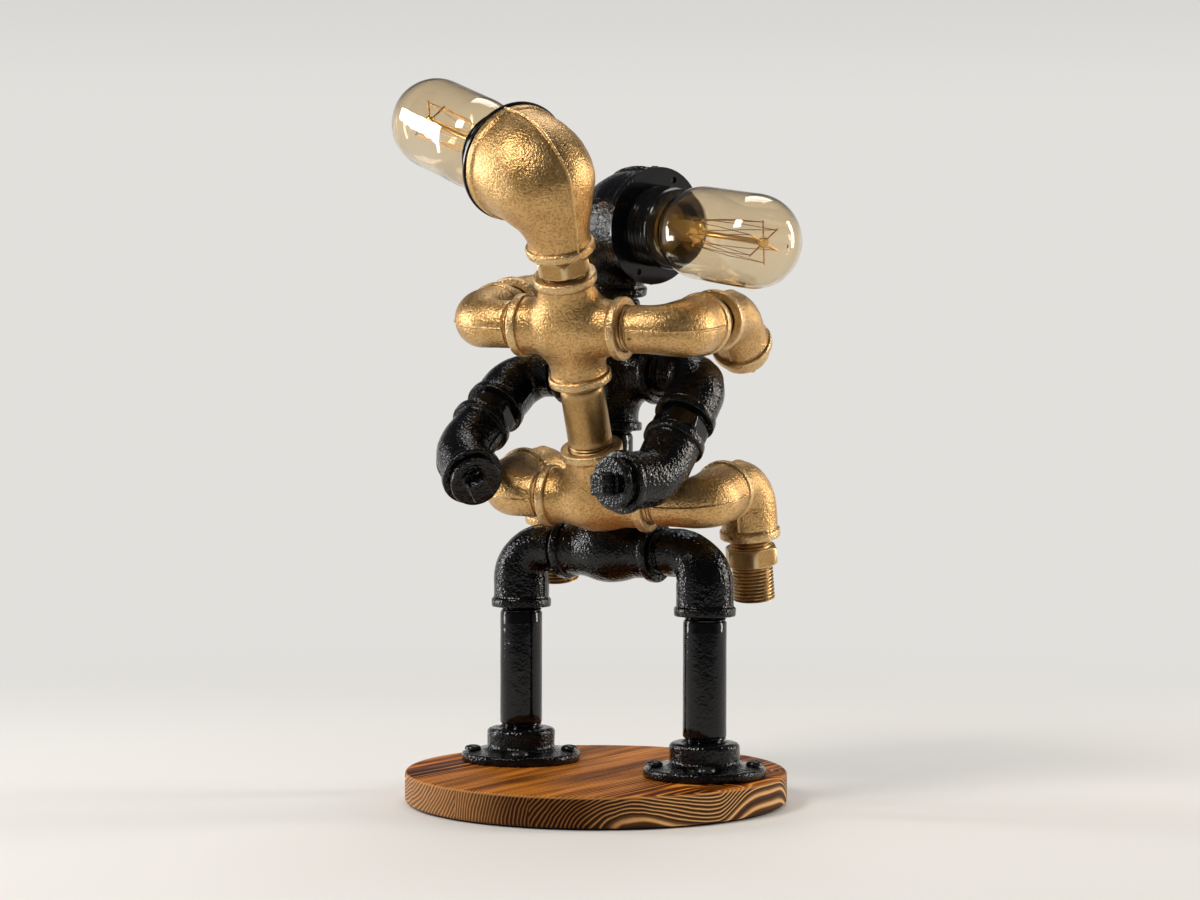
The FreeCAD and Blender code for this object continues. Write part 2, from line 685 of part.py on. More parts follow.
def lampholder(prefix, placement):
    """Plate, body, brass shell, ceramic insert and centre contact."""
    plate = revolved_body(f"{prefix}_plate", [
        ("skirt_radius + thread_clearance", "0"),
        ("plate_radius", "0"),
        ("plate_radius", "plate_thickness"),
        ("skirt_radius + thread_clearance", "plate_thickness"),
    ])
    drill_pattern(plate, "plate_hole_circle", "plate_hole_radius", 2)
    behind = placement.multiply(Placement(AXIS_Z * -dim("plate_thickness"), Rotation()))
    node(plate, f"{prefix}_plate", behind)
    depth = "(skirt_in + insert_thickness)"
    body = revolved_body(f"{prefix}_body", [
        ("skirt_bore", "insert_thickness"),
        ("skirt_bore", f"{depth} + skirt_out"),
        ("skirt_radius", f"{depth} + skirt_out"),
        ("skirt_radius", f"{depth} - plate_thickness"),
        ("collar_radius", f"{depth} - plate_thickness"),
        ("collar_radius", f"{depth} - plate_thickness - collar_width"),
        ("skirt_radius", f"{depth} - plate_thickness - collar_width"),
        ("skirt_radius", "insert_thickness"),
    ])
    floor = Vector(0, 0, -evaluate(depth))
    bottom = placement.multiply(Placement(floor, Rotation()))
    node(body, f"{prefix}_body", bottom)
    insert = revolved_body(f"{prefix}_insert", [
        ("0", "0"),
        ("skirt_radius", "0"),
        ("skirt_radius", "insert_thickness"),
        ("0", "insert_thickness"),
    ])
    node(insert, f"{prefix}_insert", bottom)
    shell_bore = "cap_radius + cap_clearance"
    shell = revolved_body(f"{prefix}_shell", [
        ("contact_radius + contact_height", "insert_thickness"),
        (f"{shell_bore} + shell_thickness", "insert_thickness"),
        (f"{shell_bore} + shell_thickness", "insert_thickness + shell_length"),
        (shell_bore, "insert_thickness + shell_length"),
        (shell_bore, "insert_thickness + shell_thickness"),
        ("contact_radius + contact_height", "insert_thickness + shell_thickness"),
    ])
    contact = cylinder("contact_radius", "contact_height", AXIS_Z, "insert_thickness")
    node(fuse([shell, contact]), f"{prefix}_brass", bottom)


def glass_form(inset):
    """Outside of the bulb's glass made smaller by an inset, tip to neck, from the plate's face."""
    radius = f"(bulb_radius - {inset})"
    middle = "(bulb_reach - bulb_radius)"
    tube = cylinder(radius, f"{middle} - bulb_shoulder", AXIS_Z, "bulb_shoulder")
    ends = []
    for height in ("bulb_shoulder", middle):
        ball = document.addObject("Part::Sphere", "ball")
        bind(ball, Radius=radius)
        ball.setExpression("Placement.Base.z", formula(height))
        ends.append(ball)
    neck = cylinder(f"cap_radius - {inset} - cap_clearance", f"bulb_shoulder - {NECK_START}", AXIS_Z,
                    NECK_START)
    return fuse([tube, neck] + ends)


def bulb(prefix, placement):
    """Tubular squirrel-cage bulb: cap, glass, stem and filament."""
    tip = "(skirt_in - contact_height - tip_clearance)"
    cap = revolved_body(f"{prefix}_cap", [
        ("0", "0"),
        ("cap_tip_radius", "0"),
        ("cap_tip_radius", "cap_tip_height"),
        ("cap_radius - cap_insulator", "cap_tip_height"),
        ("cap_radius", "cap_tip_height + cap_insulator"),
        ("cap_radius", "cap_tip_height + cap_length"),
        ("0", "cap_tip_height + cap_length"),
    ])
    start = Vector(0, 0, -evaluate(tip))
    node(cap, f"{prefix}_cap", placement.multiply(Placement(start, Rotation())))
    glass = cut(glass_form("0"), glass_form("bulb_wall"))
    node(glass, f"{prefix}_glass", placement)
    node(bulb_stem(), f"{prefix}_stem", placement)
    node(filament_cage(), f"{prefix}_filament", placement)


NECK_START = "(cap_tip_height + cap_length - skirt_in + contact_height + tip_clearance)"
BUTTON_HEIGHT = "(bulb_reach - stem_tip_gap)"
STEM_TOP = f"({NECK_START} + stem_height)"


def bulb_stem():
    """Flared glass stem with its rod and button."""
    flare = "stem_flare_height"
    return fuse([
        cone("stem_flare_radius", "stem_radius", flare, AXIS_Z, NECK_START),
        cylinder("stem_radius", f"stem_height - {flare}", AXIS_Z, f"{NECK_START} + {flare}"),
        cylinder("stem_rod_radius", f"{BUTTON_HEIGHT} - {STEM_TOP}", AXIS_Z, STEM_TOP),
        cylinder("stem_button_radius", "stem_button_height", AXIS_Z,
                 f"{BUTTON_HEIGHT} - stem_button_height"),
    ])


def wire(start, end, radius="filament_radius"):
    """Straight wire between two points."""
    run = end - start
    made = document.addObject("Part::Cylinder", "wire")
    bind(made, Radius=radius)
    made.Height = run.Length
    made.Placement = Placement(start, Rotation(AXIS_Z, run))
    return made


def filament_cage():
    """Strands that zigzag between the hooks of the stem's top and those of its button."""
    low = evaluate(f"{STEM_TOP} - filament_radius * 2")
    high = evaluate(f"{BUTTON_HEIGHT} - stem_button_height / 2")
    hooks = int(dim("filament_count")) // 2
    wires = []
    for index in range(hooks):
        bottom = around(360 * index / hooks)
        top = around(360 * (index + 0.5) / hooks)
        following = around(360 * (index + 1) / hooks)
        low_hook = bottom * dim("filament_low_radius") + AXIS_Z * low
        high_hook = top * dim("filament_high_radius") + AXIS_Z * high
        next_hook = following * dim("filament_low_radius") + AXIS_Z * low
        past = dim("hook_overhang")
        wires.append(wire(bottom * dim("stem_radius") + AXIS_Z * low, low_hook + bottom * past,
                          "hook_radius"))
        wires.append(wire(top * dim("stem_button_radius") + AXIS_Z * high, high_hook + top * past,
                          "hook_radius"))
        wires.append(wire(low_hook, high_hook))
        wires.append(wire(high_hook, next_hook))
    return fuse(wires)


def around(angle):
    """Unit vector across Z at an angle in degrees from X."""
    return Vector(math.cos(math.radians(angle)), math.sin(math.radians(angle)), 0)


# Directions and distances shared by both figures.


def turned(vector, axis, degrees):
    return Rotation(axis, degrees).multVec(vector)


def across(vector, axis):
    """Part of a vector square to an axis, as a unit vector."""
    return (vector - axis * vector.dot(axis)).normalize()


def elbow_step(leg):
    """Middle to middle, when an elbow's male leg is screwed into a socket of the given leg."""
    return dim(leg) + dim("elbow_tail") - dim("thread_engaged")


def arm(prefix, shoulder, side, forearm, hand, gap, nipple):
    """Shoulder elbow, nipple, 45-degree elbow and plug, from the shoulder's middle."""
    street_elbow(f"{prefix}_shoulder_elbow", frame(shoulder, side, forearm))
    nipple_middle = shoulder + forearm * (dim("elbow_face") + gap / 2)
    nipple(f"{prefix}_arm_nipple", frame(nipple_middle, side, forearm))
    wrist = shoulder + forearm * (dim("elbow_face") + gap + dim("half_elbow_leg"))
    half_elbow(f"{prefix}_hand_elbow", frame(wrist, forearm, hand))
    outlet = turned(forearm, forearm.cross(hand), dim("half_elbow_angle"))
    mouth = wrist + outlet * dim("half_elbow_leg")
    square_plug(f"{prefix}_hand_plug", frame(mouth, side, outlet))


def head(prefix, chest, neck, gaze, gap, nipple):
    """Neck nipple, head elbow, lampholder and bulb above a cross."""
    collar = chest + neck * (dim("tee_leg") + gap / 2)
    nipple(f"{prefix}_neck_nipple", frame(collar, gaze, neck))
    middle = chest + neck * (dim("tee_leg") + gap + dim("head_leg"))
    head_elbow(f"{prefix}_head_elbow", frame(middle, gaze, neck))
    plate_front = middle + gaze * (dim("head_mouth") + dim("plate_thickness"))
    screw_line = turned(neck, gaze, dim("plate_turn"))
    face = frame(plate_front, screw_line, gaze)
    lampholder(f"{prefix}_holder", face)
    bulb(f"{prefix}_bulb", face)


def black_figure():
    """Figure that stands on the base."""
    hips = Vector(dim("stance_x"), dim("stance_y"), dim("hip_height"))
    chest = hips + AXIS_Z * dim("black_spine")
    span = elbow_step("tee_leg")
    for prefix, side in (("left", AXIS_X * -1), ("right", AXIS_X)):
        hip = hips + side * span
        street_elbow(f"black_{prefix}_hip_elbow", frame(hip, side, AXIS_Z * -1))
        foot = Vector(hip.x, hip.y, base_top())
        floor_flange(f"{prefix}_floor_flange", Placement(foot, Rotation(AXIS_Z, dim("screw_turn"))))
        visible = "hip_height - elbow_face - felt_thickness - base_thickness - flange_height"
        start = foot + AXIS_Z * dim("flange_height")
        straight_pipe(f"black_{prefix}_leg_pipe", Placement(start, Rotation()), visible)
    upright = Placement(hips, Rotation())
    branch_fitting("black_hip_tee", upright, (AXIS_X, AXIS_X * -1, AXIS_Z))
    start = hips + AXIS_Z * dim("tee_leg")
    straight_pipe("black_spine_pipe", Placement(start, Rotation()), "black_spine - 2 * tee_leg",
                  link_hole())
    neck = turned(turned(AXIS_Z, AXIS_Y, dim("black_lean_side")), AXIS_X, dim("black_lean_front"))
    branch_fitting("black_cross", Placement(chest, Rotation()),
                   (AXIS_X, AXIS_X * -1, AXIS_Z * -1, neck))
    for prefix, side in (("left", AXIS_X * -1), ("right", AXIS_X)):
        drop = dim(f"{prefix}_arm_drop")
        forearm = turned(AXIS_Y * -1, AXIS_X, drop)
        below = turned(AXIS_Z * -1, AXIS_X, drop)
        turn = math.radians(dim(f"{prefix}_hand_turn"))
        hand = side * -math.cos(turn) + below * math.sin(turn)
        arm(f"black_{prefix}", chest + side * span, side, forearm, hand, dim("nipple_gap"),
            hex_nipple)
    gaze = across(around(dim("black_gaze")), neck)
    head("black", chest, neck, gaze, dim("nipple_gap"), hex_nipple)


def gold_axes():
    """Right, away-from-viewer and up directions of the gold figure."""
    tilt = math.radians(dim("gold_tilt"))
    sway = math.radians(dim("gold_sway"))
    up = Vector(math.sin(sway), -math.sin(tilt), math.cos(tilt)).normalize()
    right = turned(across(AXIS_X, up), up, dim("gold_twist"))
    return right, up.cross(right), up


def link_height():
    """Middle of the stud, which clears the top of the black hip tee."""
    return evaluate("hip_height + tee_leg + link_radius + link_lift")


def gold_hips():
    """Middle of the gold hip tee, which hangs on the stud."""
    return Vector(evaluate("stance_x + hips_aside"),
                  evaluate("stance_y - body_radius - bead_radius + hips_nest"),
                  link_height() - dim("hips_below"))


def gold_figure():
    """Figure that clings to the black one."""
    right, ahead, up = gold_axes()
    hips = gold_hips()
    chest = hips + up * dim("gold_spine")
    span = elbow_step("tee_leg")
    body_turn = Rotation(right, Vector(), up, "ZXY")
    branch_fitting("gold_hip_tee", Placement(hips, body_turn), (AXIS_X, AXIS_X * -1, AXIS_Z),
                   link_hole())
    start = hips + up * dim("tee_leg")
    straight_pipe("gold_spine_pipe", Placement(start, body_turn), "gold_spine - 2 * tee_leg")
    lean = turned(AXIS_Z, AXIS_Y, dim("gold_lean_side"))
    lean = turned(lean, AXIS_X, dim("gold_lean_front"))
    branch_fitting("gold_cross", Placement(chest, body_turn),
                   (AXIS_X, AXIS_X * -1, AXIS_Z * -1, lean))
    for prefix, side in (("left", right * -1), ("right", right)):
        reach = dim(f"gold_{prefix}_reach")
        forearm = turned(ahead, right, reach)
        below = turned(up * -1, right, reach)
        turn = math.radians(dim(f"gold_{prefix}_hand"))
        hand = below * math.cos(turn) - side * math.sin(turn)
        arm(f"gold_{prefix}", chest + side * span, side, forearm, hand, dim("close_gap"),
            close_nipple)
        thigh_dir = turned(ahead, right, dim(f"gold_{prefix}_thigh"))
        hip = hips + side * span
        street_elbow(f"gold_{prefix}_thigh_elbow", frame(hip, side, thigh_dir))
        knee = hip + thigh_dir * elbow_step("elbow_face")
        shin = turned(thigh_dir.cross(right), thigh_dir, -dim(f"gold_{prefix}_shin_turn"))
        street_elbow(f"gold_{prefix}_shin_elbow", frame(knee, thigh_dir, shin))
        foot_nipple(f"gold_{prefix}_foot_nipple",
                    frame(knee + shin * dim("elbow_face"), thigh_dir, shin))
    neck = body_turn.multVec(lean)
    gaze_turn = math.radians(dim("gold_gaze"))
    gaze = across(right * math.cos(gaze_turn) + ahead * math.sin(gaze_turn), neck)
    head("gold", chest, neck, gaze, dim("nipple_gap"), hex_nipple)


# Base, and the stud between the figures.


def base_top():
    return dim("felt_thickness") + dim("base_thickness")


def flange_middle(side):
    """Middle of a floor flange on the base's top, side -1 or +1."""
    return Vector(dim("stance_x") + side * elbow_step("tee_leg"), dim("stance_y"), base_top())


def screw_places():
    """Placements of the wood screws, on the flange plates' tops."""
    places = []
    count = int(dim("screw_count"))
    for side in (-1, 1):
        for index in range(count):
            out = around(dim("screw_turn") + 360 * index / count) * dim("screw_circle")
            top = flange_middle(side) + out + AXIS_Z * screw_seat()
            places.append(Placement(top, Rotation(AXIS_Z, dim("screw_turn"))))
    return places


def screw_seat():
    """Height of the flange plate's sloping top at the inner edge of a screw's head."""
    rim = evaluate("flange_radius - rim_round")
    inner_edge = evaluate("screw_circle - screw_head_radius")
    share = (rim - inner_edge) / (rim - dim("flange_root_radius"))
    return dim("flange_rim") + evaluate("flange_plate - flange_rim") * min(share, 1.0)


def placed(made, placement):
    made.Placement = placement
    return made


def wood_base():
    """Round base with rounded edges, screw holes and the drilled way for the cord."""
    body = document.addObject("PartDesign::Body", "base_disc_body")
    sketch = body.newObject("Sketcher::SketchObject", "outline")
    sketch.AttachmentSupport = (origin_plane(body, "XY_Plane"), [""])
    sketch.MapMode = "FlatFace"
    sketch.addGeometry(Part.Circle(Vector(), AXIS_Z, dim("base_radius")))
    sketch.addConstraint(Sketcher.Constraint("Coincident", 0, 3, -1, 1))
    sketch.addConstraint(Sketcher.Constraint("Radius", 0, dim("base_radius")))
    sketch.setExpression("Constraints[1]", formula("base_radius"))
    pad = body.newObject("PartDesign::Pad", "disc")
    pad.Profile = sketch
    bind(pad, Length="base_thickness")
    body.Tip = pad
    document.recompute()
    rims = [f"Edge{index}" for index, edge in enumerate(pad.Shape.Edges, start=1)
            if edge.Curve.TypeId == "Part::GeomCircle"]
    rounded = body.newObject("PartDesign::Fillet", "rounded")
    rounded.Base = (pad, rims)
    bind(rounded, Radius="base_edge_round")
    body.Tip = rounded
    floor = Placement(AXIS_Z * -dim("felt_thickness"), Rotation())
    tools = []
    for place in screw_places():
        hole = cylinder("screw_radius + thread_clearance", "screw_length", AXIS_Z)
        drop = Placement(place.Base - AXIS_Z * dim("screw_length"), Rotation())
        tools.append(placed(hole, floor.multiply(drop)))
    rise = cylinder("inlet_radius", "base_thickness / 2 + felt_thickness", AXIS_Z)
    tools.append(placed(rise, floor.multiply(Placement(inlet_start(), Rotation()))))
    inlet = cylinder("inlet_radius", "base_radius", AXIS_Z)
    tools.append(placed(inlet, floor.multiply(
        Placement(inlet_start(), Rotation(AXIS_Z, inlet_direction())))))
    place = Placement(AXIS_Z * dim("felt_thickness"), Rotation())
    node(cut(body, fuse(tools)), "base_disc", place)


def inlet_start():
    """Middle of the left floor flange, half-way up the base."""
    middle = flange_middle(-1)
    return Vector(middle.x, middle.y, dim("felt_thickness") + dim("base_thickness") / 2)


def inlet_direction():
    """From the middle of the base through the left flange to the rim."""
    middle = flange_middle(-1)
    return Vector(middle.x, middle.y, 0).normalize()


def base_parts():
    wood_base()
    felt = cylinder("base_radius - felt_inset", "felt_thickness", AXIS_Z)
    node(felt, "felt_disc", Placement())
    rim = inlet_direction() * dim("base_radius")
    rim.z = inlet_start().z
    grommet = revolved_body("inlet_grommet", [
        ("grommet_bore", "0"),
        ("inlet_radius - thread_clearance", "0"),
        ("inlet_radius - thread_clearance", "grommet_depth"),
        ("grommet_lip", "grommet_depth"),
        ("grommet_lip", "grommet_depth + grommet_lip_thickness"),
        ("grommet_bore", "grommet_depth + grommet_lip_thickness"),
    ])
    inner = rim - inlet_direction() * dim("grommet_depth")
    node(grommet, "inlet_grommet", Placement(inner, Rotation(AXIS_Z, inlet_direction())))
    screws = []
    for place in screw_places():
        head_part = cylinder("screw_head_radius", "screw_head_height", AXIS_Z)
        shank = cylinder("screw_radius", "screw_length", AXIS_Z, "-screw_length")
        screws.append(placed(fuse([head_part, shank]), place))
    node(fuse(screws), "flange_screws", Placement())


def link_line():
    """Start inside the black spine's bore and length of the stud, which runs along -Y."""
    spine = Vector(dim("stance_x"), dim("stance_y"), link_height())
    start = spine - AXIS_Y * (dim("bore_radius") - dim("link_seat"))
    right = gold_axes()[0]
    hips = gold_hips()
    along = (spine.x - hips.x) / right.x
    run = hips + right * along
    rise = spine.z - run.z
    reach = math.sqrt(dim("bore_radius") ** 2 - rise ** 2)
    end_y = run.y + reach - dim("link_seat")
    return start, start.y - end_y


def link_placement():
    return Placement(link_line()[0], Rotation(AXIS_Z, AXIS_Y * -1))


def link_hole():
    """Cylinder that clears the stud, and its place."""
    hole = document.addObject("Part::Cylinder", "hole")
    bind(hole, Radius="link_radius + thread_clearance")
    hole.Height = link_line()[1]
    return placed(hole, link_placement())


def link_stud():
    length = link_line()[1]
    outside = cylinder("link_radius", length)
    inside = cylinder("link_bore", length)
    node(cut(outside, inside), "link_stud", link_placement())


# Checks and export.


def check_document():
    """Stop on any failed object, and on a sub-part whose shape is missing or invalid."""
    for item in document.Objects:
        if "Invalid" in item.State or "Error" in item.State:
            raise RuntimeError(f"{item.Label}: {item.State}")
    for item in NODES:
        if item.Shape.isNull() or not item.Shape.isValid():
            raise RuntimeError(f"{item.Label}: shape missing or invalid")


def export_nodes():
    os.makedirs("parts", exist_ok=True)
    for item in NODES:
        item.Shape.exportStep(os.path.join("parts", f"{item.Label}.step"))
        print(f"{item.Label}: {len(item.Shape.Solids)} solid(s), {item.Shape.Volume:.0f} mm3")


base_parts()
black_figure()
gold_figure()
link_stud()
document.recompute()
check_document()
export_nodes()
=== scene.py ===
"""Pipe table lamp: two figures of half-inch pipe fittings on a burnt pine base.

The black figure stands on the base and the gold one hangs on its front. Lengths in the classes
are millimetres and degrees; the meshes are metres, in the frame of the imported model.
"""

import logging
import math
from dataclasses import dataclass, replace
from enum import Enum
from functools import partial
from typing import Callable, ClassVar, Sequence

import bmesh
import bpy
import numpy as np
from mathutils import Matrix, Vector, noise


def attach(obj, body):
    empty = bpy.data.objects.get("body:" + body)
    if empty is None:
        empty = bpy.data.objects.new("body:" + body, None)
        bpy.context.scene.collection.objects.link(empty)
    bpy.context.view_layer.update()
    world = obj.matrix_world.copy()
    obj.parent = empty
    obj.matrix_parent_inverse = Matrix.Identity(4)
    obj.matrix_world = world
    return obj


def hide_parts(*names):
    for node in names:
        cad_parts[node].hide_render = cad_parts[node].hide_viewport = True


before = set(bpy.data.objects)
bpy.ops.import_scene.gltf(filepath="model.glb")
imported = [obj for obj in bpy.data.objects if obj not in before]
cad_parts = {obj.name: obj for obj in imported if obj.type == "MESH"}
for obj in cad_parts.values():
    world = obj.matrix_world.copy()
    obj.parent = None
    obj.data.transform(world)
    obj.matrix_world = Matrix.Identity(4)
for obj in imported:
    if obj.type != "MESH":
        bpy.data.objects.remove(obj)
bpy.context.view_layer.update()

MM = 0.001
AXIS_X, AXIS_Y, AXIS_Z = Vector((1, 0, 0)), Vector((0, 1, 0)), Vector((0, 0, 1))
log = logging.getLogger("pipe_lamp")

Colour = tuple[float, float, float, float]
Tone = str | float
Radius = float | np.ndarray
Station = tuple[float, Radius]
Frame = tuple[Vector, Vector, Vector]
Mesh = bpy.types.Mesh
Tree = bpy.types.NodeTree
Node = bpy.types.Node
Socket = bpy.types.NodeSocket
Adder = Callable[..., Node]


# Places and directions.


def turned(vector: Vector, axis: Vector, degrees: float) -> Vector:
    """Turn a vector about an axis by degrees."""
    return Matrix.Rotation(math.radians(degrees), 3, axis) @ vector


def across(vector: Vector, axis: Vector) -> Vector:
    """Part of a vector square to an axis, as a unit vector."""
    return (vector - axis * vector.dot(axis)).normalized()


def around(degrees: float) -> Vector:
    """Unit vector square to Z at an angle from X."""
    return Vector((math.cos(math.radians(degrees)), math.sin(math.radians(degrees)), 0))


@dataclass(frozen=True)
class Stand:
    """Place of a piece: its origin in millimetres and its three axes."""

    origin: Vector = Vector()
    x: Vector = AXIS_X
    y: Vector = AXIS_Y
    z: Vector = AXIS_Z

    @classmethod
    def facing(cls, origin: Vector, x_hint: Vector, z: Vector) -> "Stand":
        """Stand with Z along z and X as near as can be to x_hint."""
        x = across(x_hint, z.normalized())
        return cls(origin, x, z.normalized().cross(x), z.normalized())

    def place(self, points: np.ndarray) -> np.ndarray:
        """Move points from the piece's frame, in mm, to the model's, in metres."""
        return (points @ np.array([self.x, self.y, self.z]) + np.array(self.origin)) * MM


# Middle lines that a skin is drawn along.


@dataclass(frozen=True)
class Line:
    """Straight middle line from the origin along an axis."""

    axis: Vector = AXIS_Z
    out: Vector = AXIS_X

    def at(self, s: float) -> Frame:
        """Centre and the two directions of the section at a distance s."""
        return self.axis * s, self.out, self.axis.cross(self.out)


@dataclass(frozen=True)
class Bend:
    """Middle line in the XZ plane: in along +X, round a bend, out between +X and +Z."""

    leg_in: float
    leg_out: float
    radius: float
    degrees: float = 90.0

    @property
    def tangent(self) -> float:
        """Distance from the corner to each end of the bend."""
        return self.radius * math.tan(math.radians(self.degrees) / 2)

    @property
    def start(self) -> float:
        """Distance along the line at which the bend starts."""
        return self.leg_in - self.tangent

    @property
    def end(self) -> float:
        """Distance along the line at which the bend ends."""
        return self.start + self.radius * math.radians(self.degrees)

    @property
    def length(self) -> float:
        """Length of the whole line."""
        return self.end + self.leg_out - self.tangent

    def at(self, s: float) -> Frame:
        """Section at a distance along the line.

        Args:
            s: the distance, in mm.

        Returns:
            Its centre, the direction of the heel and the one to the side.
        """
        angle = min(max((s - self.start) / self.radius, 0.0), math.radians(self.degrees))
        out = Vector((math.sin(angle), 0, -math.cos(angle)))
        ahead = Vector((math.cos(angle), 0, math.sin(angle)))
        centre = Vector((-self.tangent, 0, self.radius)) + out * self.radius
        past = min(s - self.start, 0.0) + max(s - self.end, 0.0)
        return centre + ahead * past, out, AXIS_Y


# Meshes.


class Skin:
    """Mesh grown ring by ring, in millimetres."""

    merge: ClassVar[float] = 0.002
    hard_edge: ClassVar[float] = 38.0
    wide_lump: ClassVar[float] = 7.0
    small_lump: ClassVar[float] = 2.6

    def __init__(self, segments: int = 72, crowding: float = 0.0) -> None:
        """Start an empty skin.

        Args:
            segments: points in each ring.
            crowding: how far the points crowd together at the heel and at the crotch, 0 to 1.
        """
        self.segments = segments
        even = np.arange(segments) * (2 * math.pi / segments)
        self.angles = even - crowding / 2 * np.sin(2 * even)
        self.points: list[np.ndarray] = []
        self.faces: list[tuple[int, ...]] = []
        self.count = 0
        self.open = False

    def ring(self, centre: Vector, out: Vector, side: Vector, radius: Radius) -> None:
        """Add a ring and join it to the one before.

        Args:
            centre: middle of the ring.
            out: direction of its first point.
            side: direction a quarter turn on.
            radius: one radius, or one for each point.
        """
        radii = np.broadcast_to(np.asarray(radius, float), (self.segments,))
        spokes = np.outer(np.cos(self.angles), out) + np.outer(np.sin(self.angles), side)
        self.points.append(np.array(centre) + spokes * radii[:, None])
        if self.open:
            first, second = self.count - self.segments, self.count
            for index in range(self.segments):
                after = (index + 1) % self.segments
                self.faces.append((first + index, first + after, second + after, second + index))
        self.count += self.segments
        self.open = True

    def sweep(self, stations: Sequence[Station], path: Line | Bend = Line()) -> None:
        """Draw one closed shell along a middle line.

        Args:
            stations: distance along the line and radius of each ring.
            path: the middle line.
        """
        self.open = False
        for distance, radius in stations:
            self.ring(*path.at(distance), radius)

    def wire(self, spots: Sequence[Vector], radius: float) -> None:
        """Draw a wire through points.

        Args:
            spots: points along the wire, in mm.
            radius: radius of the wire.
        """
        self.open = False
        ahead = (spots[-1] - spots[0]).normalized()
        out = ahead.orthogonal().normalized()
        for spot, size in ((spots[0], 0.0), *((spot, radius) for spot in spots),
                           (spots[-1], 0.0)):
            self.ring(spot, out, ahead.cross(out), size)

    def helix(self, distance: float, pitch: float) -> np.ndarray:
        """Share of a turn, 0 to 1, that each point of a ring is past a helix."""
        return (distance / pitch - self.angles / (2 * math.pi)) % 1.0

    def polygon(self, sides: int, apothem: float) -> np.ndarray:
        """Radii of a regular polygon, from its middle to each point's place on its sides."""
        off = (self.angles + math.pi / sides) % (2 * math.pi / sides) - math.pi / sides
        return apothem / np.cos(off)

    def mesh(self, name: str, stand: Stand, lumps: float = 0.0) -> Mesh:
        """Finish the mesh in the model's frame.

        Args:
            name: name of the mesh.
            stand: place of the piece.
            lumps: height of a sand casting's unevenness, in mm.

        Returns:
            The mesh, in metres, smooth except at its hard edges.
        """
        made = bpy.data.meshes.new(name)
        made.from_pydata(stand.place(np.vstack(self.points)).tolist(), [], self.faces)
        work = bmesh.new()
        work.from_mesh(made)
        bmesh.ops.remove_doubles(work, verts=work.verts, dist=self.merge * MM)
        if lumps:
            work.normal_update()
            for vert in work.verts:
                low = noise.noise(vert.co / (self.wide_lump * MM))
                high = noise.noise(vert.co / (self.small_lump * MM))
                vert.co += vert.normal * (low + 0.4 * high) * lumps * MM
        work.to_mesh(made)
        work.free()
        made.shade_smooth()
        made.set_sharp_from_angle(angle=math.radians(self.hard_edge))
        return made


def bow(start: Station, end: Station, steps: int, bulge: float) -> list[Station]:
    """Stations of a curve between two points of a profile.

    Args:
        start: distance and radius of its first point.
        end: distance and radius of its last point.
        steps: number of stations.
        bulge: height of its middle over the chord as a share of the chord, outwards if positive.

    Returns:
        The stations, with both ends.
    """
    run = np.array(end) - np.array(start)
    normal = np.array((-run[1], run[0]))
    return [tuple(np.array(start) + run * share + normal * bulge * 4 * share * (1 - share))
            for share in np.linspace(0, 1, steps)]


def put(name: str, data: bpy.types.ID) -> bpy.types.Object:
    """Put an object into the scene.

    Args:
        name: its name.
        data: its mesh, light or camera.

    Returns:
        The object.
    """
    made = bpy.data.objects.new(name, data)
    bpy.context.scene.collection.objects.link(made)
    return made


# Finishes.


def linear(tone: Tone) -> Colour:
    """Linear colour of an sRGB hex value such as #c79a3c, or of a grey's linear level.

    Args:
        tone: the hex value or the level.

    Returns:
        Red, green, blue and alpha.
    """
    if not isinstance(tone, str):
        return (tone, tone, tone, 1.0)
    parts = [int(tone[index:index + 2], 16) / 255 for index in (1, 3, 5)]
    return (*(part / 12.92 if part <= 0.04045 else ((part + 0.055) / 1.055) ** 2.4
              for part in parts), 1.0)


def per_metre(millimetres: float) -> float:
    """Scale of a texture whose features are this far apart."""
    return 1 / (millimetres * MM)


def add_node(tree: Tree, kind: str, inputs: dict | None = None,
             stops: Sequence[tuple[float, Tone]] = (), **settings: object) -> Node:
    """Add a node with its settings and links.

    Args:
        tree: the tree that it goes into.
        kind: the node's type name, without ShaderNode.
        inputs: what each input takes, by name or number: a value, a hex colour, a socket, or a
            node, for its first output in use.
        stops: position and tone of each stop of a ramp.
        settings: attributes of the node.

    Returns:
        The node.
    """
    made = tree.nodes.new("ShaderNode" + kind)
    for name, value in settings.items():
        setattr(made, name, value)
    for index, (position, tone) in enumerate(stops):
        ramp = made.color_ramp.elements
        stop = ramp[index] if index < len(ramp) else ramp.new(position)
        stop.position = position
        stop.color = linear(tone)
    for name, value in (inputs or {}).items():
        if isinstance(value, Node):
            value = next(socket for socket in value.outputs if socket.enabled)
        if isinstance(value, Socket):
            tree.links.new(value, made.inputs[name])
        else:
            made.inputs[name].default_value = linear(value) if isinstance(value, str) else value
    return made


@dataclass(frozen=True)
class Finish:
    """A finish: its name, the record's slot that it belongs to, and its nodes."""

    name: str
    slot: str

    def material(self) -> bpy.types.Material:
        """Make the finish's material, once.

        Returns:
            The material.
        """
        found = bpy.data.materials.get(self.name)
        if found:
            return found
        made = bpy.data.materials.new(self.name)
        made.use_nodes = True
        made.node_tree.nodes.clear()
        add = partial(add_node, made.node_tree)
        add("OutputMaterial", {"Surface": self.lay(add)})
        return made

    def lay(self, add: Adder) -> Node:
        """Add the finish's nodes and return the last shader."""
        raise NotImplementedError


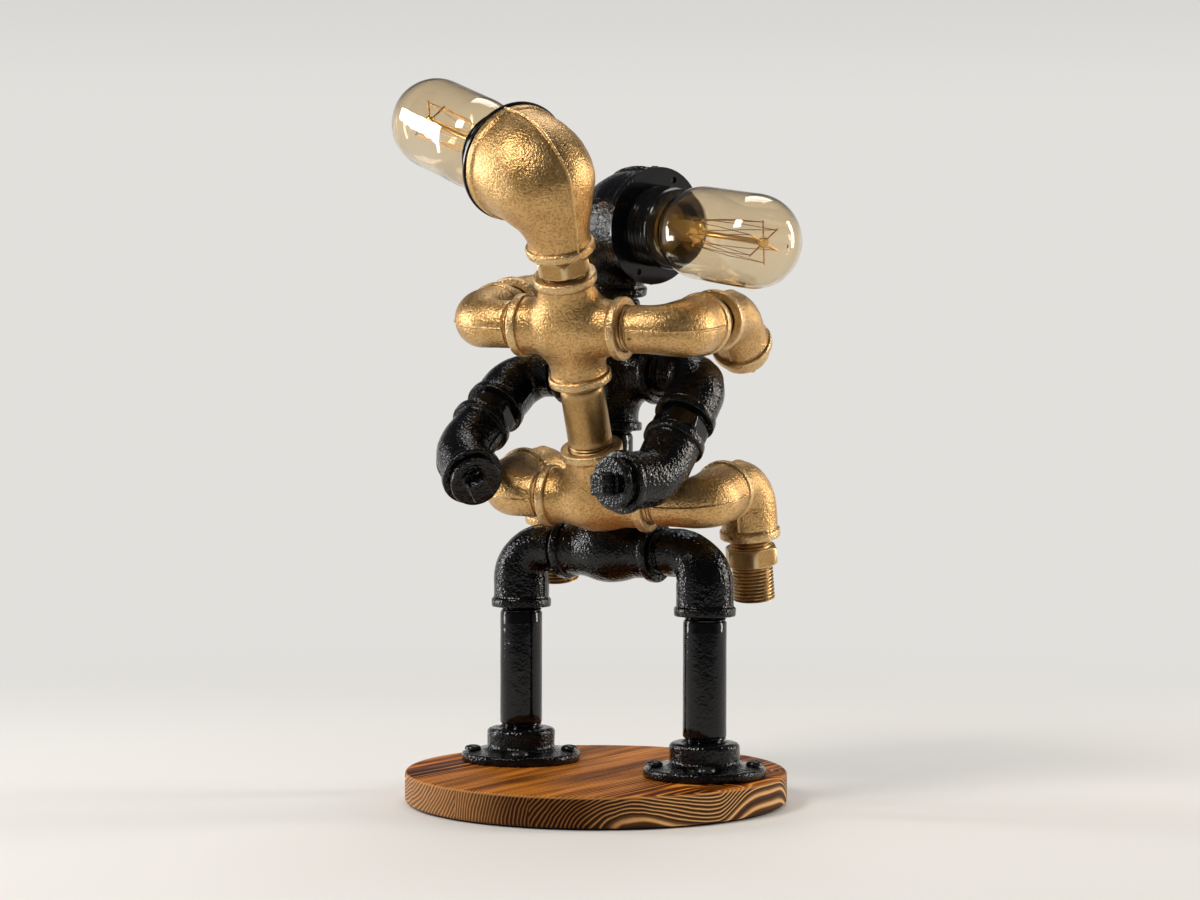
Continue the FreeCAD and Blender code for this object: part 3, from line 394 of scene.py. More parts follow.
@dataclass(frozen=True)
class CastPaint(Finish):
    """Paint on a sand casting: colour, gloss and a relief of lumps, grains and fine tooth, with
    painted shade in its valleys and creases and a painted highlight on its crests.

    Heights are millimetres from the bottom of the relief to its top, and widths are the sizes of
    one lump or grain.
    """

    light: str
    thin: str
    # low is the painted shade tone, laid in the grain's valleys and in creases; the tone after it
    # is a painted highlight laid on crests.
    low: str
    painted_highlight: str
    pit: str
    grain: float
    tooth: float
    lump_height: float
    grain_height: float
    tooth_height: float
    rough_low: float
    rough_high: float
    # Share of painted shade laid in the grain's valleys.
    valley_shade: float = 0.5
    metallic: float = 0.0
    ior: float = 1.5
    coat: float = 0.0
    coat_rough: float = 0.2
    patch: float = 15.0
    lump: float = 3.6
    pit_spread: float = 5.76
    pit_depth: float = 0.25

    def lay(self, add: Adder) -> Node:
        """Lay patchy colour, painted shade in the valleys and creases, a painted highlight on
        crests, pits and the relief.

        Args:
            add: adds a node to the material.

        Returns:
            The shader.
        """
        spot = add("TexCoord").outputs["Object"]
        patches, lumps, grain, tooth = (
            add("TexNoise", {"Vector": spot, "Scale": per_metre(size), "Detail": detail,
                             "Roughness": 0.55})
            for size, detail in ((self.patch, 4.0), (self.lump, 2.0), (self.grain, 1.0),
                                 (self.tooth, 1.0)))
        pits = add("TexNoise", {"Vector": spot, "Scale": per_metre(self.pit_spread), "Detail": 1.0})
        pitted = add("ValToRGB", {"Fac": pits}, ((0.20, 1.0), (0.245, 0.0)))
        worn = add("ValToRGB", {"Fac": patches}, ((0.36, self.thin), (0.58, self.light)))
        # Painted shade: the grain's valleys are darkened towards the low tone, which is a shade
        # colour.
        valley_shade_share = add("ValToRGB", {"Fac": grain}, ((0.33, self.valley_shade), (0.55, 0.0)))
        valley_shaded = add("Mix", {0: valley_shade_share, 6: worn, 7: self.low}, data_type="RGBA")
        colour = add("Mix", {0: pitted, 6: valley_shaded, 7: self.pit}, data_type="RGBA")
        # Painted shade in the creases beside ridges and beads, and a painted highlight on their
        # crests, both from pointiness.
        bent = add("NewGeometry").outputs["Pointiness"]
        for full, none, tone, share in ((0.43, 0.49, self.low, 0.8), (0.57, 0.51, self.painted_highlight, 0.6)):
            painted_light_share = add("MapRange", {"Value": bent, "From Min": none, "From Max": full,
                                     "To Max": share})
            colour = add("Mix", {0: painted_light_share, 6: colour, 7: tone}, data_type="RGBA")
        rough = add("MapRange", {"Value": patches, "From Min": 0.35, "From Max": 0.65,
                                 "To Min": self.rough_low, "To Max": self.rough_high})
        # The noises keep near their middle, so the heights are those of their real crests.
        relief = 0.0
        for layer, height in ((lumps, self.lump_height), (grain, self.grain_height),
                              (tooth, self.tooth_height)):
            crests = add("MapRange", {"Value": layer, "From Min": 0.30, "From Max": 0.70})
            relief = add("Math", {0: crests, 1: height, 2: relief}, operation="MULTIPLY_ADD")
        relief = add("Math", {0: pitted, 1: -self.pit_depth, 2: relief}, operation="MULTIPLY_ADD")
        bump = add("Bump", {"Height": relief, "Strength": 1.0, "Distance": MM})
        return add("BsdfPrincipled", {
            "Base Color": colour, "Metallic": self.metallic, "Roughness": rough, "IOR": self.ior,
            "Normal": bump, "Coat Weight": self.coat, "Coat Roughness": self.coat_rough})


# Brass-coloured metallic spray paint on malleable iron. The pigment gives a warm satin shine, and
# the sand casting below shows as pebbles a millimetre wide, with painted shade in their valleys and
# creases, a painted highlight on crests, and a few open pits.
GOLD_ON_CASTING = CastPaint(
    "gold_spray_paint_on_malleable_iron", "gold_paint", light="#dab276", thin="#c59c61",
    low="#6e4820", painted_highlight="#f6dfb2", pit="#3f2710", grain=1.15, tooth=0.7, lump_height=0.04,
    grain_height=0.17, tooth_height=0.06, rough_low=0.36, rough_high=0.43, valley_shade=0.42,
    metallic=0.95, coat=0.1, coat_rough=0.25)

# The same paint on the drawn pipe and the turned nipples, where no sand shows through.
GOLD_ON_STEEL = replace(
    GOLD_ON_CASTING, name="gold_spray_paint_on_steel", light="#b8935c", thin="#a5804c",
    grain_height=0.025, tooth_height=0.012, rough_low=0.34, rough_high=0.46, valley_shade=0.3)

# Gloss black enamel on malleable iron, thick on a gritty casting: near black, with wet glints on
# every grain, a painted grey highlight on crests and painted shade in creases.
BLACK_ON_CASTING = CastPaint(
    "gloss_black_enamel_on_malleable_iron", "black_paint", light="#050506", thin="#020203",
    low="#020202", painted_highlight="#161617", pit="#020202", grain=1.5, tooth=0.8, lump_height=0.09,
    grain_height=0.19, tooth_height=0.03, rough_low=0.07, rough_high=0.14, ior=1.38)

# The same enamel on drawn pipe and turned nipples: runs and drops, but less grit.
BLACK_ON_STEEL = replace(
    BLACK_ON_CASTING, name="gloss_black_enamel_on_steel", lump_height=0.04, grain_height=0.022,
    tooth_height=0.006)


class Coat(Enum):
    """Paint of a figure, on its castings and on its drawn and turned steel."""

    GOLD = (GOLD_ON_CASTING, GOLD_ON_STEEL)
    BLACK = (BLACK_ON_CASTING, BLACK_ON_STEEL)


@dataclass(frozen=True)
class BurntPine(Finish):
    """Pine glued from three staves, scorched, brushed and varnished.

    The growth rings run round a pith beside each stave, so that the top shows streaks along Y
    and the rim shows arcs. Scorching browns the soft wood and leaves the hard lines tan.
    """

    name: str = "scorched_varnished_pine"
    slot: str = "burnt_pine"
    hard: str = "#d98f36"
    amber: str = "#a85a12"
    brown: str = "#602c08"
    burnt: str = "#1e0b04"
    bare: str = "#c08a4e"
    piths: tuple[tuple[float, float], ...] = ((-87.0, 55.0), (95.0, -10.0), (88.0, -34.0))
    joints: tuple[float, float] = (-20.0, 22.0)
    young: float = 47.0
    wide_ring: float = 5.6
    narrow_ring: float = 1.9
    swell: float = 12.0
    warp: float = 34.0
    warp_depth: float = 12.0
    fibre: float = 0.5
    streak: float = 6.0
    broad_streak: float = 24.0
    brushed_depth: float = 0.16
    ior: float = 1.13

    def lay(self, add: Adder) -> Node:
        """Lay rings, scorching, fibres and a clear varnish.

        Args:
            add: adds a node to the material.

        Returns:
            The shader.
        """
        spot = add("TexCoord").outputs["Object"]
        place = add("SeparateXYZ", {"Vector": spot}).outputs
        late = self.rings(add, spot, place)
        lengthwise = add("Mapping", {"Vector": spot, "Scale": (1.0, 0.06, 1.0)})
        streaks, broad, fibres = (
            add("TexNoise", {"Vector": lengthwise, "Scale": per_metre(size), "Detail": detail,
                             "Roughness": 0.6})
            for size, detail in ((self.streak, 5.0), (self.broad_streak, 2.0), (self.fibre, 2.0)))
        facing = add("NewGeometry").outputs["Normal"]
        upward = add("SeparateXYZ", {"Vector": facing}).outputs["Z"]
        level = add("MapRange", {"Value": upward, "From Min": 0.45, "From Max": 0.85})
        board = add("Mix", {0: level, 6: self.rim(add, late, place["X"], streaks),
                            7: self.top(add, late, streaks, broad)}, data_type="RGBA")
        # The sanded edge lets the bare wood through as a thin pale line.
        edge = add("ValToRGB", {"Fac": upward},
                   ((0.10, 0.0), (0.45, 0.55), (0.75, 0.35), (0.97, 0.0)))
        edged = add("Mix", {0: edge, 6: board, 7: self.bare}, data_type="RGBA")
        colour = add("Mix", {0: 0.30, 6: edged, 7: fibres}, data_type="RGBA", blend_type="OVERLAY")
        rough = add("MapRange", {"Value": streaks, "From Min": 0.3, "From Max": 0.7, "To Min": 0.40,
                                 "To Max": 0.54})
        relief = add("Math", {0: fibres, 1: 0.3, 2: late}, operation="MULTIPLY_ADD")
        bump = add("Bump", {"Height": relief, "Strength": 0.6, "Distance": self.brushed_depth * MM})
        return add("BsdfPrincipled", {"Base Color": colour, "Roughness": rough, "IOR": self.ior,
                                      "Normal": bump})

    def rings(self, add: Adder, spot: Socket, place: bpy.types.NodeOutputs) -> Node:
        """Draw the growth rings.

        Args:
            add: adds a node to the material.
            spot: place in the model.
            place: the same place's three components.

        Returns:
            How much of a hard late-wood line each point has, from 0 to 1.
        """
        slow = add("Mapping", {"Vector": spot, "Scale": (1.0, 0.14, 1.0)})
        bend = add("TexNoise", {"Vector": slow, "Scale": per_metre(self.warp), "Detail": 3.0,
                                "Roughness": 0.45}).outputs["Color"]
        centred = add("VectorMath", {0: bend, 1: (-0.5, -0.5, -0.5)}, operation="ADD")
        depth = self.warp_depth * MM
        bent = add("VectorMath", {0: centred, 1: (depth, 0.0, depth), 2: spot},
                   operation="MULTIPLY_ADD")
        # A swelling of the trunk bends the rings down at both ends of the right edge.
        aside = add("Math", {0: place["Y"], 1: -0.008}, operation="ADD")
        square = add("Math", {0: aside, 1: aside}, operation="MULTIPLY")
        sagged = add("MapRange", {"Value": square, "From Max": 0.0016, "To Max": self.swell * MM},
                     interpolation_type="SMOOTHSTEP")
        near = add("MapRange", {"Value": place["X"], "From Min": 0.06, "From Max": 0.088},
                   interpolation_type="SMOOTHSTEP")
        sag = add("Math", {0: sagged, 1: near}, operation="MULTIPLY")
        lift = add("CombineXYZ", {"Z": sag})
        grown = add("VectorMath", {0: bent, 1: lift}, operation="ADD")
        first, *others = ((x * MM, 0.0, z * MM) for x, z in self.piths)
        pith = first
        for joint, other in zip(self.joints, others):
            beyond = add("Math", {0: place["X"], 1: joint * MM}, operation="GREATER_THAN")
            pith = add("Mix", {0: beyond, 4: pith, 5: other}, data_type="VECTOR")
        away = add("VectorMath", {0: grown, 1: pith}, operation="SUBTRACT")
        flat = add("VectorMath", {0: away, 1: (1.0, 0.0, 1.0)}, operation="MULTIPLY")
        far = add("VectorMath", {0: flat}, operation="LENGTH")
        # The tree grew fast while it was young, then slowly.
        old = add("Math", {0: far, 1: self.young * MM}, operation="SUBTRACT")
        old = add("Math", {0: old, 1: 0.0}, operation="MAXIMUM")
        count = add("Math", {0: far, 1: per_metre(self.wide_ring)}, operation="MULTIPLY")
        more = per_metre(self.narrow_ring) - per_metre(self.wide_ring)
        count = add("Math", {0: old, 1: more, 2: count}, operation="MULTIPLY_ADD")
        share = add("Math", {0: count}, operation="FRACT")
        return add("ValToRGB", {"Fac": share}, ((0.0, 1.0), (0.10, 0.85), (0.26, 0.15), (0.50, 0.0),
                                                (0.84, 0.08), (0.98, 1.0)))

    def top(self, add: Adder, late: Node, streaks: Node, broad: Node) -> Node:
        """Colour the top: amber boards with scorched streaks between the hard lines.

        Args:
            add: adds a node to the material.
            late: share of late wood.
            streaks: noise of narrow streaks.
            broad: noise of wide streaks.

        Returns:
            The colour.
        """
        scorch = add("Math", {0: broad, 1: 0.7, 2: streaks}, operation="MULTIPLY_ADD")
        ringed = add("Math", {0: late, 1: -0.44, 2: scorch}, operation="MULTIPLY_ADD")
        depth = add("MapRange", {"Value": ringed, "From Min": 0.38, "From Max": 1.10})
        return add("ValToRGB", {"Fac": depth}, (
            (0.12, self.hard), (0.42, self.amber), (0.66, self.brown), (0.92, self.burnt)))

    def rim(self, add: Adder, late: Node, x: Socket, streaks: Node) -> Node:
        """Colour the rim: pale at the left end, scorched dark between the lines to the right.

        Args:
            add: adds a node to the material.
            late: share of late wood.
            x: place along X.
            streaks: noise of narrow streaks.

        Returns:
            The colour.
        """
        along = add("MapRange", {"Value": x, "From Min": -0.095, "From Max": 0.095})
        soft = add("ValToRGB", {"Fac": along}, (
            (0.0, "#8c6039"), (0.36, "#6b4523"), (0.46, "#5a3819"), (0.56, "#2a1507"),
            (0.72, "#170a04"), (0.90, "#3a2012")))
        hard = add("ValToRGB", {"Fac": along}, (
            (0.0, "#deb387"), (0.42, "#ba8656"), (0.56, "#7c5029"), (0.74, "#8a5828"),
            (0.90, "#f0b878")))
        ringed = add("Mix", {0: late, 6: soft, 7: hard}, data_type="RGBA")
        return add("Mix", {0: 0.25, 6: ringed, 7: streaks}, data_type="RGBA", blend_type="OVERLAY")


@dataclass(frozen=True)
class PlainFinish(Finish):
    """Finish of the small parts: two close tones, uneven gloss and a fine relief."""

    first: str
    second: str
    grain: float
    rough_low: float
    rough_high: float
    metallic: float = 0.0
    height: float = 0.02
    ior: float = 1.5

    def lay(self, add: Adder) -> Node:
        """Break one colour up by a fine noise.

        Args:
            add: adds a node to the material.

        Returns:
            The shader.
        """
        spot = add("TexCoord").outputs["Object"]
        grain = add("TexNoise", {"Vector": spot, "Scale": per_metre(self.grain), "Detail": 3.0})
        colour = add("ValToRGB", {"Fac": grain}, ((0.4, self.first), (0.6, self.second)))
        rough = add("MapRange", {"Value": grain, "To Min": self.rough_low,
                                 "To Max": self.rough_high})
        bump = add("Bump", {"Height": grain, "Strength": 0.5, "Distance": self.height * MM})
        return add("BsdfPrincipled", {"Base Color": colour, "Metallic": self.metallic,
                                      "Roughness": rough, "IOR": self.ior, "Normal": bump})


# Pressed wool felt: matt, with tangled fibres half a millimetre apart.
WOOL_FELT = PlainFinish("pressed_wool_felt", "black_felt", "#17171a", "#2a2a2e", 0.5, 0.9, 1.0,
                        height=0.2)
# Moulded rubber of the grommet: dull black with a dusty bloom.
MOULDED_RUBBER = PlainFinish("moulded_rubber", "black_rubber", "#101011", "#1d1d1f", 1.5, 0.5, 0.7)
# Steel screws painted over with the flanges: gloss black with thin edges.
PAINTED_STEEL = PlainFinish("painted_steel_screw", "black_steel", "#0d0d0e", "#1e1e20", 1.1, 0.18,
                            0.38)
# Zinc-plated steel of the stud: blue-grey spangle.
ZINC_STEEL = PlainFinish("zinc_plated_steel", "zinc_steel", "#a9adb2", "#8b9096", 2.0, 0.25, 0.45,
                         metallic=1.0)
# Thinly plated brass of the bulb cap and the shell: bright, golden where it is rubbed.
PLATED_BRASS = PlainFinish("thinly_plated_brass", "nickel_brass", "#e0bd74", "#c39a4c", 2.5, 0.2,
                           0.35, metallic=1.0)
# Glazed porcelain of the insert: off-white with a thin glossy glaze.
GLAZED_PORCELAIN = PlainFinish("glazed_porcelain", "porcelain", "#efece4", "#e2ddd2", 3.0, 0.15,
                               0.3)
# Moulded phenolic resin of the lampholder: deep black with a hard gloss.
HOLDER_RESIN = PlainFinish("moulded_phenolic_resin", "holder_black", "#0c0c0d", "#141416", 4.0,
                           0.10, 0.20, height=0.03, ior=1.4)
# Black lacquer on the holders' pressed steel plates: smooth, like a dark mirror.
PLATE_LACQUER = PlainFinish("black_lacquer_on_steel", "black_paint", "#0c0c0d", "#121214", 6.0,
                            0.10, 0.18, ior=1.4)
# Drawn tungsten wire, warm grey in the amber glass.
FILAMENT_WIRE = PlainFinish("drawn_tungsten_wire", "filament_wire", "#e2b266", "#b98438", 1.0, 0.3,
                            0.4, metallic=1.0)


@dataclass(frozen=True)
class TintedGlass(Finish):
    """Soda-lime glass with a tint, and faint waves from its mould."""

    tint: str
    wave: float
    roughness: float = 0.0
    clearness: float = 1.0
    metallic: float = 0.0
    wave_height: float = 0.25

    def lay(self, add: Adder) -> Node:
        """Lay tinted transmission with a slow wave in the surface.

        Args:
            add: adds a node to the material.

        Returns:
            The shader.
        """
        spot = add("TexCoord").outputs["Object"]
        wave = add("TexNoise", {"Vector": spot, "Scale": per_metre(self.wave), "Detail": 1.0})
        bump = add("Bump", {"Height": wave, "Strength": 0.25, "Distance": self.wave_height * MM})
        return add("BsdfPrincipled", {
            "Base Color": self.tint, "IOR": 1.5, "Transmission Weight": self.clearness,
            "Roughness": self.roughness, "Metallic": self.metallic, "Normal": bump})


# Blown glass of the bulb: clear, with a light amber tint.
BLOWN_GLASS = TintedGlass("amber_tinted_blown_glass", "clear_glass", "#f5e9d3", 9.0)
# Pressed amber glass of the stem, made nearly opaque golden yellow and half metallic: a painted
# reflection of the brass cap that shines through it.
STEM_GLASS_PAINTED_SHINE = TintedGlass("pressed_amber_glass_painted_brass_shine", "stem_glass", "#ffdc90", 4.0, roughness=0.16,
                         clearness=0.25, metallic=0.5)


@dataclass
class Piece:
    """One object of the lamp: its CAD node, the body that it moves with and its finish."""

    node: str
    body: str
    finish: Finish

    def dress(self, skin: Skin, stand: Stand, ending: str, lumps: float = 0.0) -> None:
        """Put a skin in the place of the CAD node.

        Args:
            skin: the piece's skin, about its own middle.
            stand: place of the piece.
            ending: word added to the node's name.
            lumps: height of a sand casting's unevenness, in mm.
        """
        mesh = skin.mesh(self.node, stand, lumps)
        made = put(f"{self.node}_{ending}", mesh)
        mesh.materials.append(self.finish.material())
        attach(made, self.body)
        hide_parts(self.node)
        log.info("%s: %d faces on %s", made.name, len(mesh.polygons), self.body)


class Shape:
    """A turned or swept part about its own middle."""

    segments: ClassVar[int] = 72
    crowding: ClassVar[float] = 0.0
    ending: ClassVar[str] = "casting"
    lumps: ClassVar[float] = 0.16

    def draw(self, skin: Skin) -> None:
        """Draw the part on an empty skin."""
        raise NotImplementedError

    def build(self, piece: Piece, stand: Stand) -> None:
        """Draw the part and dress it as a piece.

        Args:
            piece: the piece that it becomes.
            stand: where it stands.
        """
        skin = Skin(self.segments, self.crowding)
        self.draw(skin)
        piece.dress(skin, stand, self.ending, self.lumps)


# Pipe fittings, each about its own middle.


@dataclass(frozen=True)
class PipeThread:
    """Half-inch pipe thread and the socket that it goes into."""

    radius: float = 10.4
    depth: float = 0.85
    pitch: float = 1.814
    fade: float = 0.6
    steps: int = 7
    bore: float = 8.0
    entry: float = 11.5
    recess: float = 10.75
    recess_depth: float = 4.0

    @property
    def root(self) -> float:
        """Radius at the bottom of the thread."""
        return self.radius - self.depth

    def turns(self, skin: Skin, start: float, end: float) -> list[Station]:
        """Stations of a cut thread between two distances.

        Args:
            skin: the skin that the rings are for.
            start: where the thread starts.
            end: where it ends, beyond start.

        Returns:
            Rings whose radius follows the helix.
        """
        made = []
        for distance in np.linspace(start, end, max(2, round((end - start) / self.pitch
                                                             * self.steps))):
            phase = skin.helix(distance, self.pitch)
            ridge = np.clip(1.15 * np.abs(2 * phase - 1) - 0.05, 0.0, 1.0)
            fade = min(1.0, (distance - start) / self.fade, (end - distance) / self.fade)
            made.append((distance, self.radius - self.depth * (1 - ridge) * max(fade, 0)))
        return made

    def mouth(self, body: float, bead: float = 15.1, width: float = 4.4) -> list[Station]:
        """Profile of a socket's mouth, from the floor of its recess out to the body.

        Args:
            body: radius of the fitting behind the band.
            bead: radius of the band round the mouth.
            width: width of the band.

        Returns:
            Distance from the face into the fitting, and radius.
        """
        soft = 0.28 * (bead - body) + 0.45
        return [
            (self.recess_depth, 0.0), (self.recess_depth, self.recess), (0.7, self.recess),
            (0.0, self.entry), (0.0, bead - soft), (0.10, bead - 0.5 * soft),
            (0.38, bead - 0.14 * soft), (0.9, bead), (width - 1.0, bead),
            (width - 0.45, bead - 0.16 * soft), (width - 0.12, bead - 0.6 * soft),
            (width + 0.1, body + 0.35), (width + 0.5, body + 0.1), (width + 1.2, body),
        ]


THREAD = PipeThread()


def outward(profile: Sequence[Station], face: float) -> list[Station]:
    """Mouth's profile as stations that end at a face."""
    return [(face - inward, radius) for inward, radius in reversed(profile)]


def parting_line(skin: Skin, radius: float, height: float = 0.50, width: float = 0.45,
                 step: float = 0.24, aside: float = 0.0) -> np.ndarray:
    """Relief where the halves of a mould met, at the heel and at the crotch of a ring.

    Args:
        skin: the skin that the ring is for.
        radius: radius of the ring, in mm.
        height: height of the ridge, in mm.
        width: half its width, in mm.
        step: how far one half stands proud of the other, in mm.
        aside: shift of the heel's ridge round the ring, in mm.

    Returns:
        Height to add to each point's radius.
    """
    half = width / radius
    from_heel = (skin.angles - aside / radius + math.pi) % (2 * math.pi) - math.pi
    from_crotch = skin.angles % (2 * math.pi) - math.pi
    ridge = np.exp(-(from_heel / half) ** 2) + np.exp(-(from_crotch / half) ** 2)
    return height * ridge + step / 2 * np.tanh(np.sin(from_heel) / half)


@dataclass
class StreetElbow(Shape):
    """90-degree elbow: male thread along -X and socket along +Z."""

    segments = 112
    crowding = 0.8
    face: float = 30.3
    tail: float = 37.4
    bend: float = 15.5
    thread: float = 15.0
    shown_thread: float = 4.6
    barrel: float = 11.4
    socket: float = 14.0
    bead_width: float = 4.4

    def draw(self, skin: Skin) -> None:
        """Sweep the casting from its thread round the bend to its mouth.

        Args:
            skin: the skin to draw on.
        """
        path = Bend(self.tail, self.face, self.bend)
        ridge = parting_line(skin, self.socket)
        hidden = self.thread - self.shown_thread
        body = []
        for distance in np.linspace(self.thread + 1.1, path.length - self.bead_width - 1.3, 44):
            share = min(max((distance - path.start) / (path.end - path.start), 0.0), 1.0)
            radius = self.barrel + (self.socket - self.barrel) * share * share * (3 - 2 * share)
            body.append((distance, radius + ridge))
        skin.sweep([(0.0, 0.0), (0.0, THREAD.root), (hidden, THREAD.root),
                    *THREAD.turns(skin, hidden, self.thread), (self.thread + 0.1, THREAD.radius),
                    (self.thread + 0.5, self.barrel - 0.2), *body,
                    *outward(THREAD.mouth(self.socket), path.length)], path)


@dataclass
class HalfElbow(Shape):
    """45-degree elbow: sockets along -X and between +X and +Z."""

    segments = 112
    crowding = 0.8
    leg: float = 24.4
    bend: float = 20.0
    degrees: float = 45.0
    body: float = 13.3
    bead_width: float = 4.4

    def draw(self, skin: Skin) -> None:
        """Sweep the casting from mouth to mouth.

        Args:
            skin: the skin to draw on.
        """
        path = Bend(self.leg, self.leg, self.bend, self.degrees)
        radius = self.body + parting_line(skin, self.body)
        mouth = THREAD.mouth(self.body)
        first = self.bead_width + 1.3
        body = [(distance, radius) for distance in np.linspace(first, path.length - first, 24)]
        skin.sweep([*mouth, *body, *outward(mouth, path.length)], path)


@dataclass
class BranchFitting(Shape):
    """Tee or cross: sockets along its axes, and a body with cast hollows between them."""

    axes: tuple[Vector, ...] = (AXIS_X, -AXIS_X, AXIS_Z)
    leg: float = 28.1
    body: float = 13.3
    bead_width: float = 4.4
    hollow: float = 9.0
    waist: float = 0.7
    waist_width: float = 8.0
    voxel: float = 1.0
    rounds: int = 6

    def distance(self, points: np.ndarray) -> np.ndarray:
        """Measure how far points are from the body, whose legs meet in hollow curves.

        Args:
            points: n by 3 array in millimetres.

        Returns:
            The n distances, negative inside.
        """
        legs = []
        for axis in self.axes:
            direction = np.array(axis)
            along = np.clip(points @ direction, 0, self.leg - self.bead_width)
            radius = self.body - self.waist * np.exp(-(along / self.waist_width) ** 2)
            legs.append(np.linalg.norm(points - np.outer(along, direction), axis=1) - radius)
        made = legs[0]
        for other in legs[1:]:
            overlap = np.clip(self.hollow - np.abs(made - other), 0, None) / self.hollow
            made = np.minimum(made, other) - overlap ** 2 * self.hollow / 4
        return made

    def cast(self, skin: Skin) -> None:
        """Add the body: an even mesh that is drawn onto the hollow curves.

        Args:
            skin: the skin to add it to.
        """
        blank = Skin(32)
        end = self.leg - self.bead_width
        for axis in self.axes:
            blank.sweep([(-9.0, 0.0), (-9.0, 9.0), (-3.0, self.body), (end, self.body),
                         (end, 0.0)], Line(axis, axis.orthogonal().normalized()))
        holder = put("blank", blank.mesh("blank", Stand()))
        remesh = holder.modifiers.new("even", "REMESH")
        remesh.mode = "VOXEL"
        remesh.voxel_size = self.voxel * MM
        graph = bpy.context.evaluated_depsgraph_get()
        even = bpy.data.meshes.new_from_object(holder.evaluated_get(graph))
        flat = np.zeros(len(even.vertices) * 3, np.float32)
        even.vertices.foreach_get("co", flat)
        points = flat.reshape(-1, 3).astype(float) / MM
        skin.faces += [tuple(face.vertices) for face in even.polygons]
        bpy.data.objects.remove(holder)
        bpy.data.meshes.remove(even)
        step = 0.05
        for _ in range(self.rounds):
            here = self.distance(points)
            slope = np.stack([(self.distance(points + offset) - self.distance(points - offset))
                              / (2 * step) for offset in np.eye(3) * step], axis=1)
            steep = np.clip((slope ** 2).sum(1), 0.2, None)
            points = points - slope * (here / steep)[:, None]
        skin.points.append(points)
        skin.count += len(points)

    def draw(self, skin: Skin) -> None:
        """Join the body to a band and a mouth on each leg.

        Args:
            skin: the skin to draw on.
        """
        self.cast(skin)
        behind = self.leg - self.bead_width - 2.2
        for axis in self.axes:
            skin.sweep([(behind, self.body - 2.0), (behind, self.body - 0.12),
                        *outward(THREAD.mouth(self.body), self.leg)],
                       Line(axis, axis.orthogonal().normalized()))


@dataclass
class HexNipple(Shape):
    """Threaded nipple along Z with a hex, from start to end of its visible part."""

    ending = "turned"
    lumps = 0.05
    threads: tuple[tuple[float, float], ...]
    hex_from: float = 0.0
    hex_to: float = 0.0
    open_end: bool = False
    flats: float = 24.0
    bevel: float = 1.4
    open_bore: float = 24.0

    def draw(self, skin: Skin) -> None:
        """Sweep the lower thread, the hex and the upper thread.

        Args:
            skin: the skin to draw on.
        """
        root, bore = THREAD.root, THREAD.bore
        (start, end), *upper = self.threads
        last = self.threads[-1][1]
        stations: list[Station] = [(start - 1.5, 0.0), (start - 1.5, root),
                                   *THREAD.turns(skin, start - 1.4, end)]
        if self.hex_to > self.hex_from:
            washer = self.flats / 2 - 0.4
            corner = self.flats / 2 / math.cos(math.pi / 6)
            stations += [(self.hex_from, root), (self.hex_from, washer)]
            for edge, sense in ((self.hex_from, 1), (self.hex_to, -1)):
                for share in (0.0, 0.35, 0.7, 1.0)[::sense]:
                    cone = washer + (corner - washer) * share
                    stations.append((edge + sense * self.bevel * share ** 1.6,
                                     np.minimum(skin.polygon(6, self.flats / 2), cone)))
            stations += [(self.hex_to, washer), (self.hex_to, root)]
        for start, end in upper:
            stations += THREAD.turns(skin, start, end + (0.0 if self.open_end else 1.4))
        if self.open_end:
            stations += [(last, root - 0.15), (last + 0.05, bore + 0.5), (last - 0.4, bore),
                         (last - self.open_bore, bore), (last - self.open_bore, 0.0)]
        else:
            stations += [(last + 1.5, root), (last + 1.5, 0.0)]
        skin.sweep(stations)


def hex_nipple(gap: float = 11.5, height: float = 8.4) -> HexNipple:
    """Nipple with a hex half-way between two sockets."""
    return HexNipple(((-gap / 2, -height / 2), (height / 2, gap / 2)), -height / 2, height / 2)


def close_nipple(gap: float = 12.0) -> HexNipple:
    """Nipple that is thread from end to end."""
    return HexNipple(((-gap / 2, gap / 2),))


def foot_nipple(bare: float = 4.5, height: float = 9.5, thread: float = 17.5) -> HexNipple:
    """Nipple under a knee, with its far thread left open."""
    top = bare + height
    return HexNipple(((0.0, bare), (top, top + thread)), bare, top, open_end=True)


@dataclass
class SquarePlug(Shape):
    """Square-head plug: the socket's face at the origin and the head along +Z."""

    lumps = 0.10
    collar: float = 12.5
    collar_height: float = 4.5
    bare: float = 1.5
    square: float = 10.0
    head_height: float = 8.0
    corner: float = 0.8

    def draw(self, skin: Skin) -> None:
        """Sweep the thread, the collar and the square head.

        Args:
            skin: the skin to draw on.
        """
        bare, collar = self.bare, self.collar
        base = bare + self.collar_height
        top = base + self.head_height
        stations: list[Station] = [
            (-2.0, 0.0), (-2.0, THREAD.root), *THREAD.turns(skin, -1.9, bare),
            (bare, collar - 0.9), (bare + 0.3, collar - 0.2), (bare + 0.9, collar),
            (base - 0.9, collar), (base - 0.3, collar - 0.25), (base, collar - 1.0),
            (base, collar - 2.0)]
        for height, inset in ((base, -1.7), (base, -1.2), (base + 0.1, -0.7), (base + 0.9, 0.0),
                              (top - 0.8, 0.0), (top - 0.2, 0.3), (top, 0.9), (top, 1.8)):
            half = self.square / 2 - inset
            limit = half * math.sqrt(2) - self.corner * (math.sqrt(2) - 1)
            stations.append((height, np.minimum(skin.polygon(4, half), limit)))
        skin.sweep([*stations, (top, 0.0)])


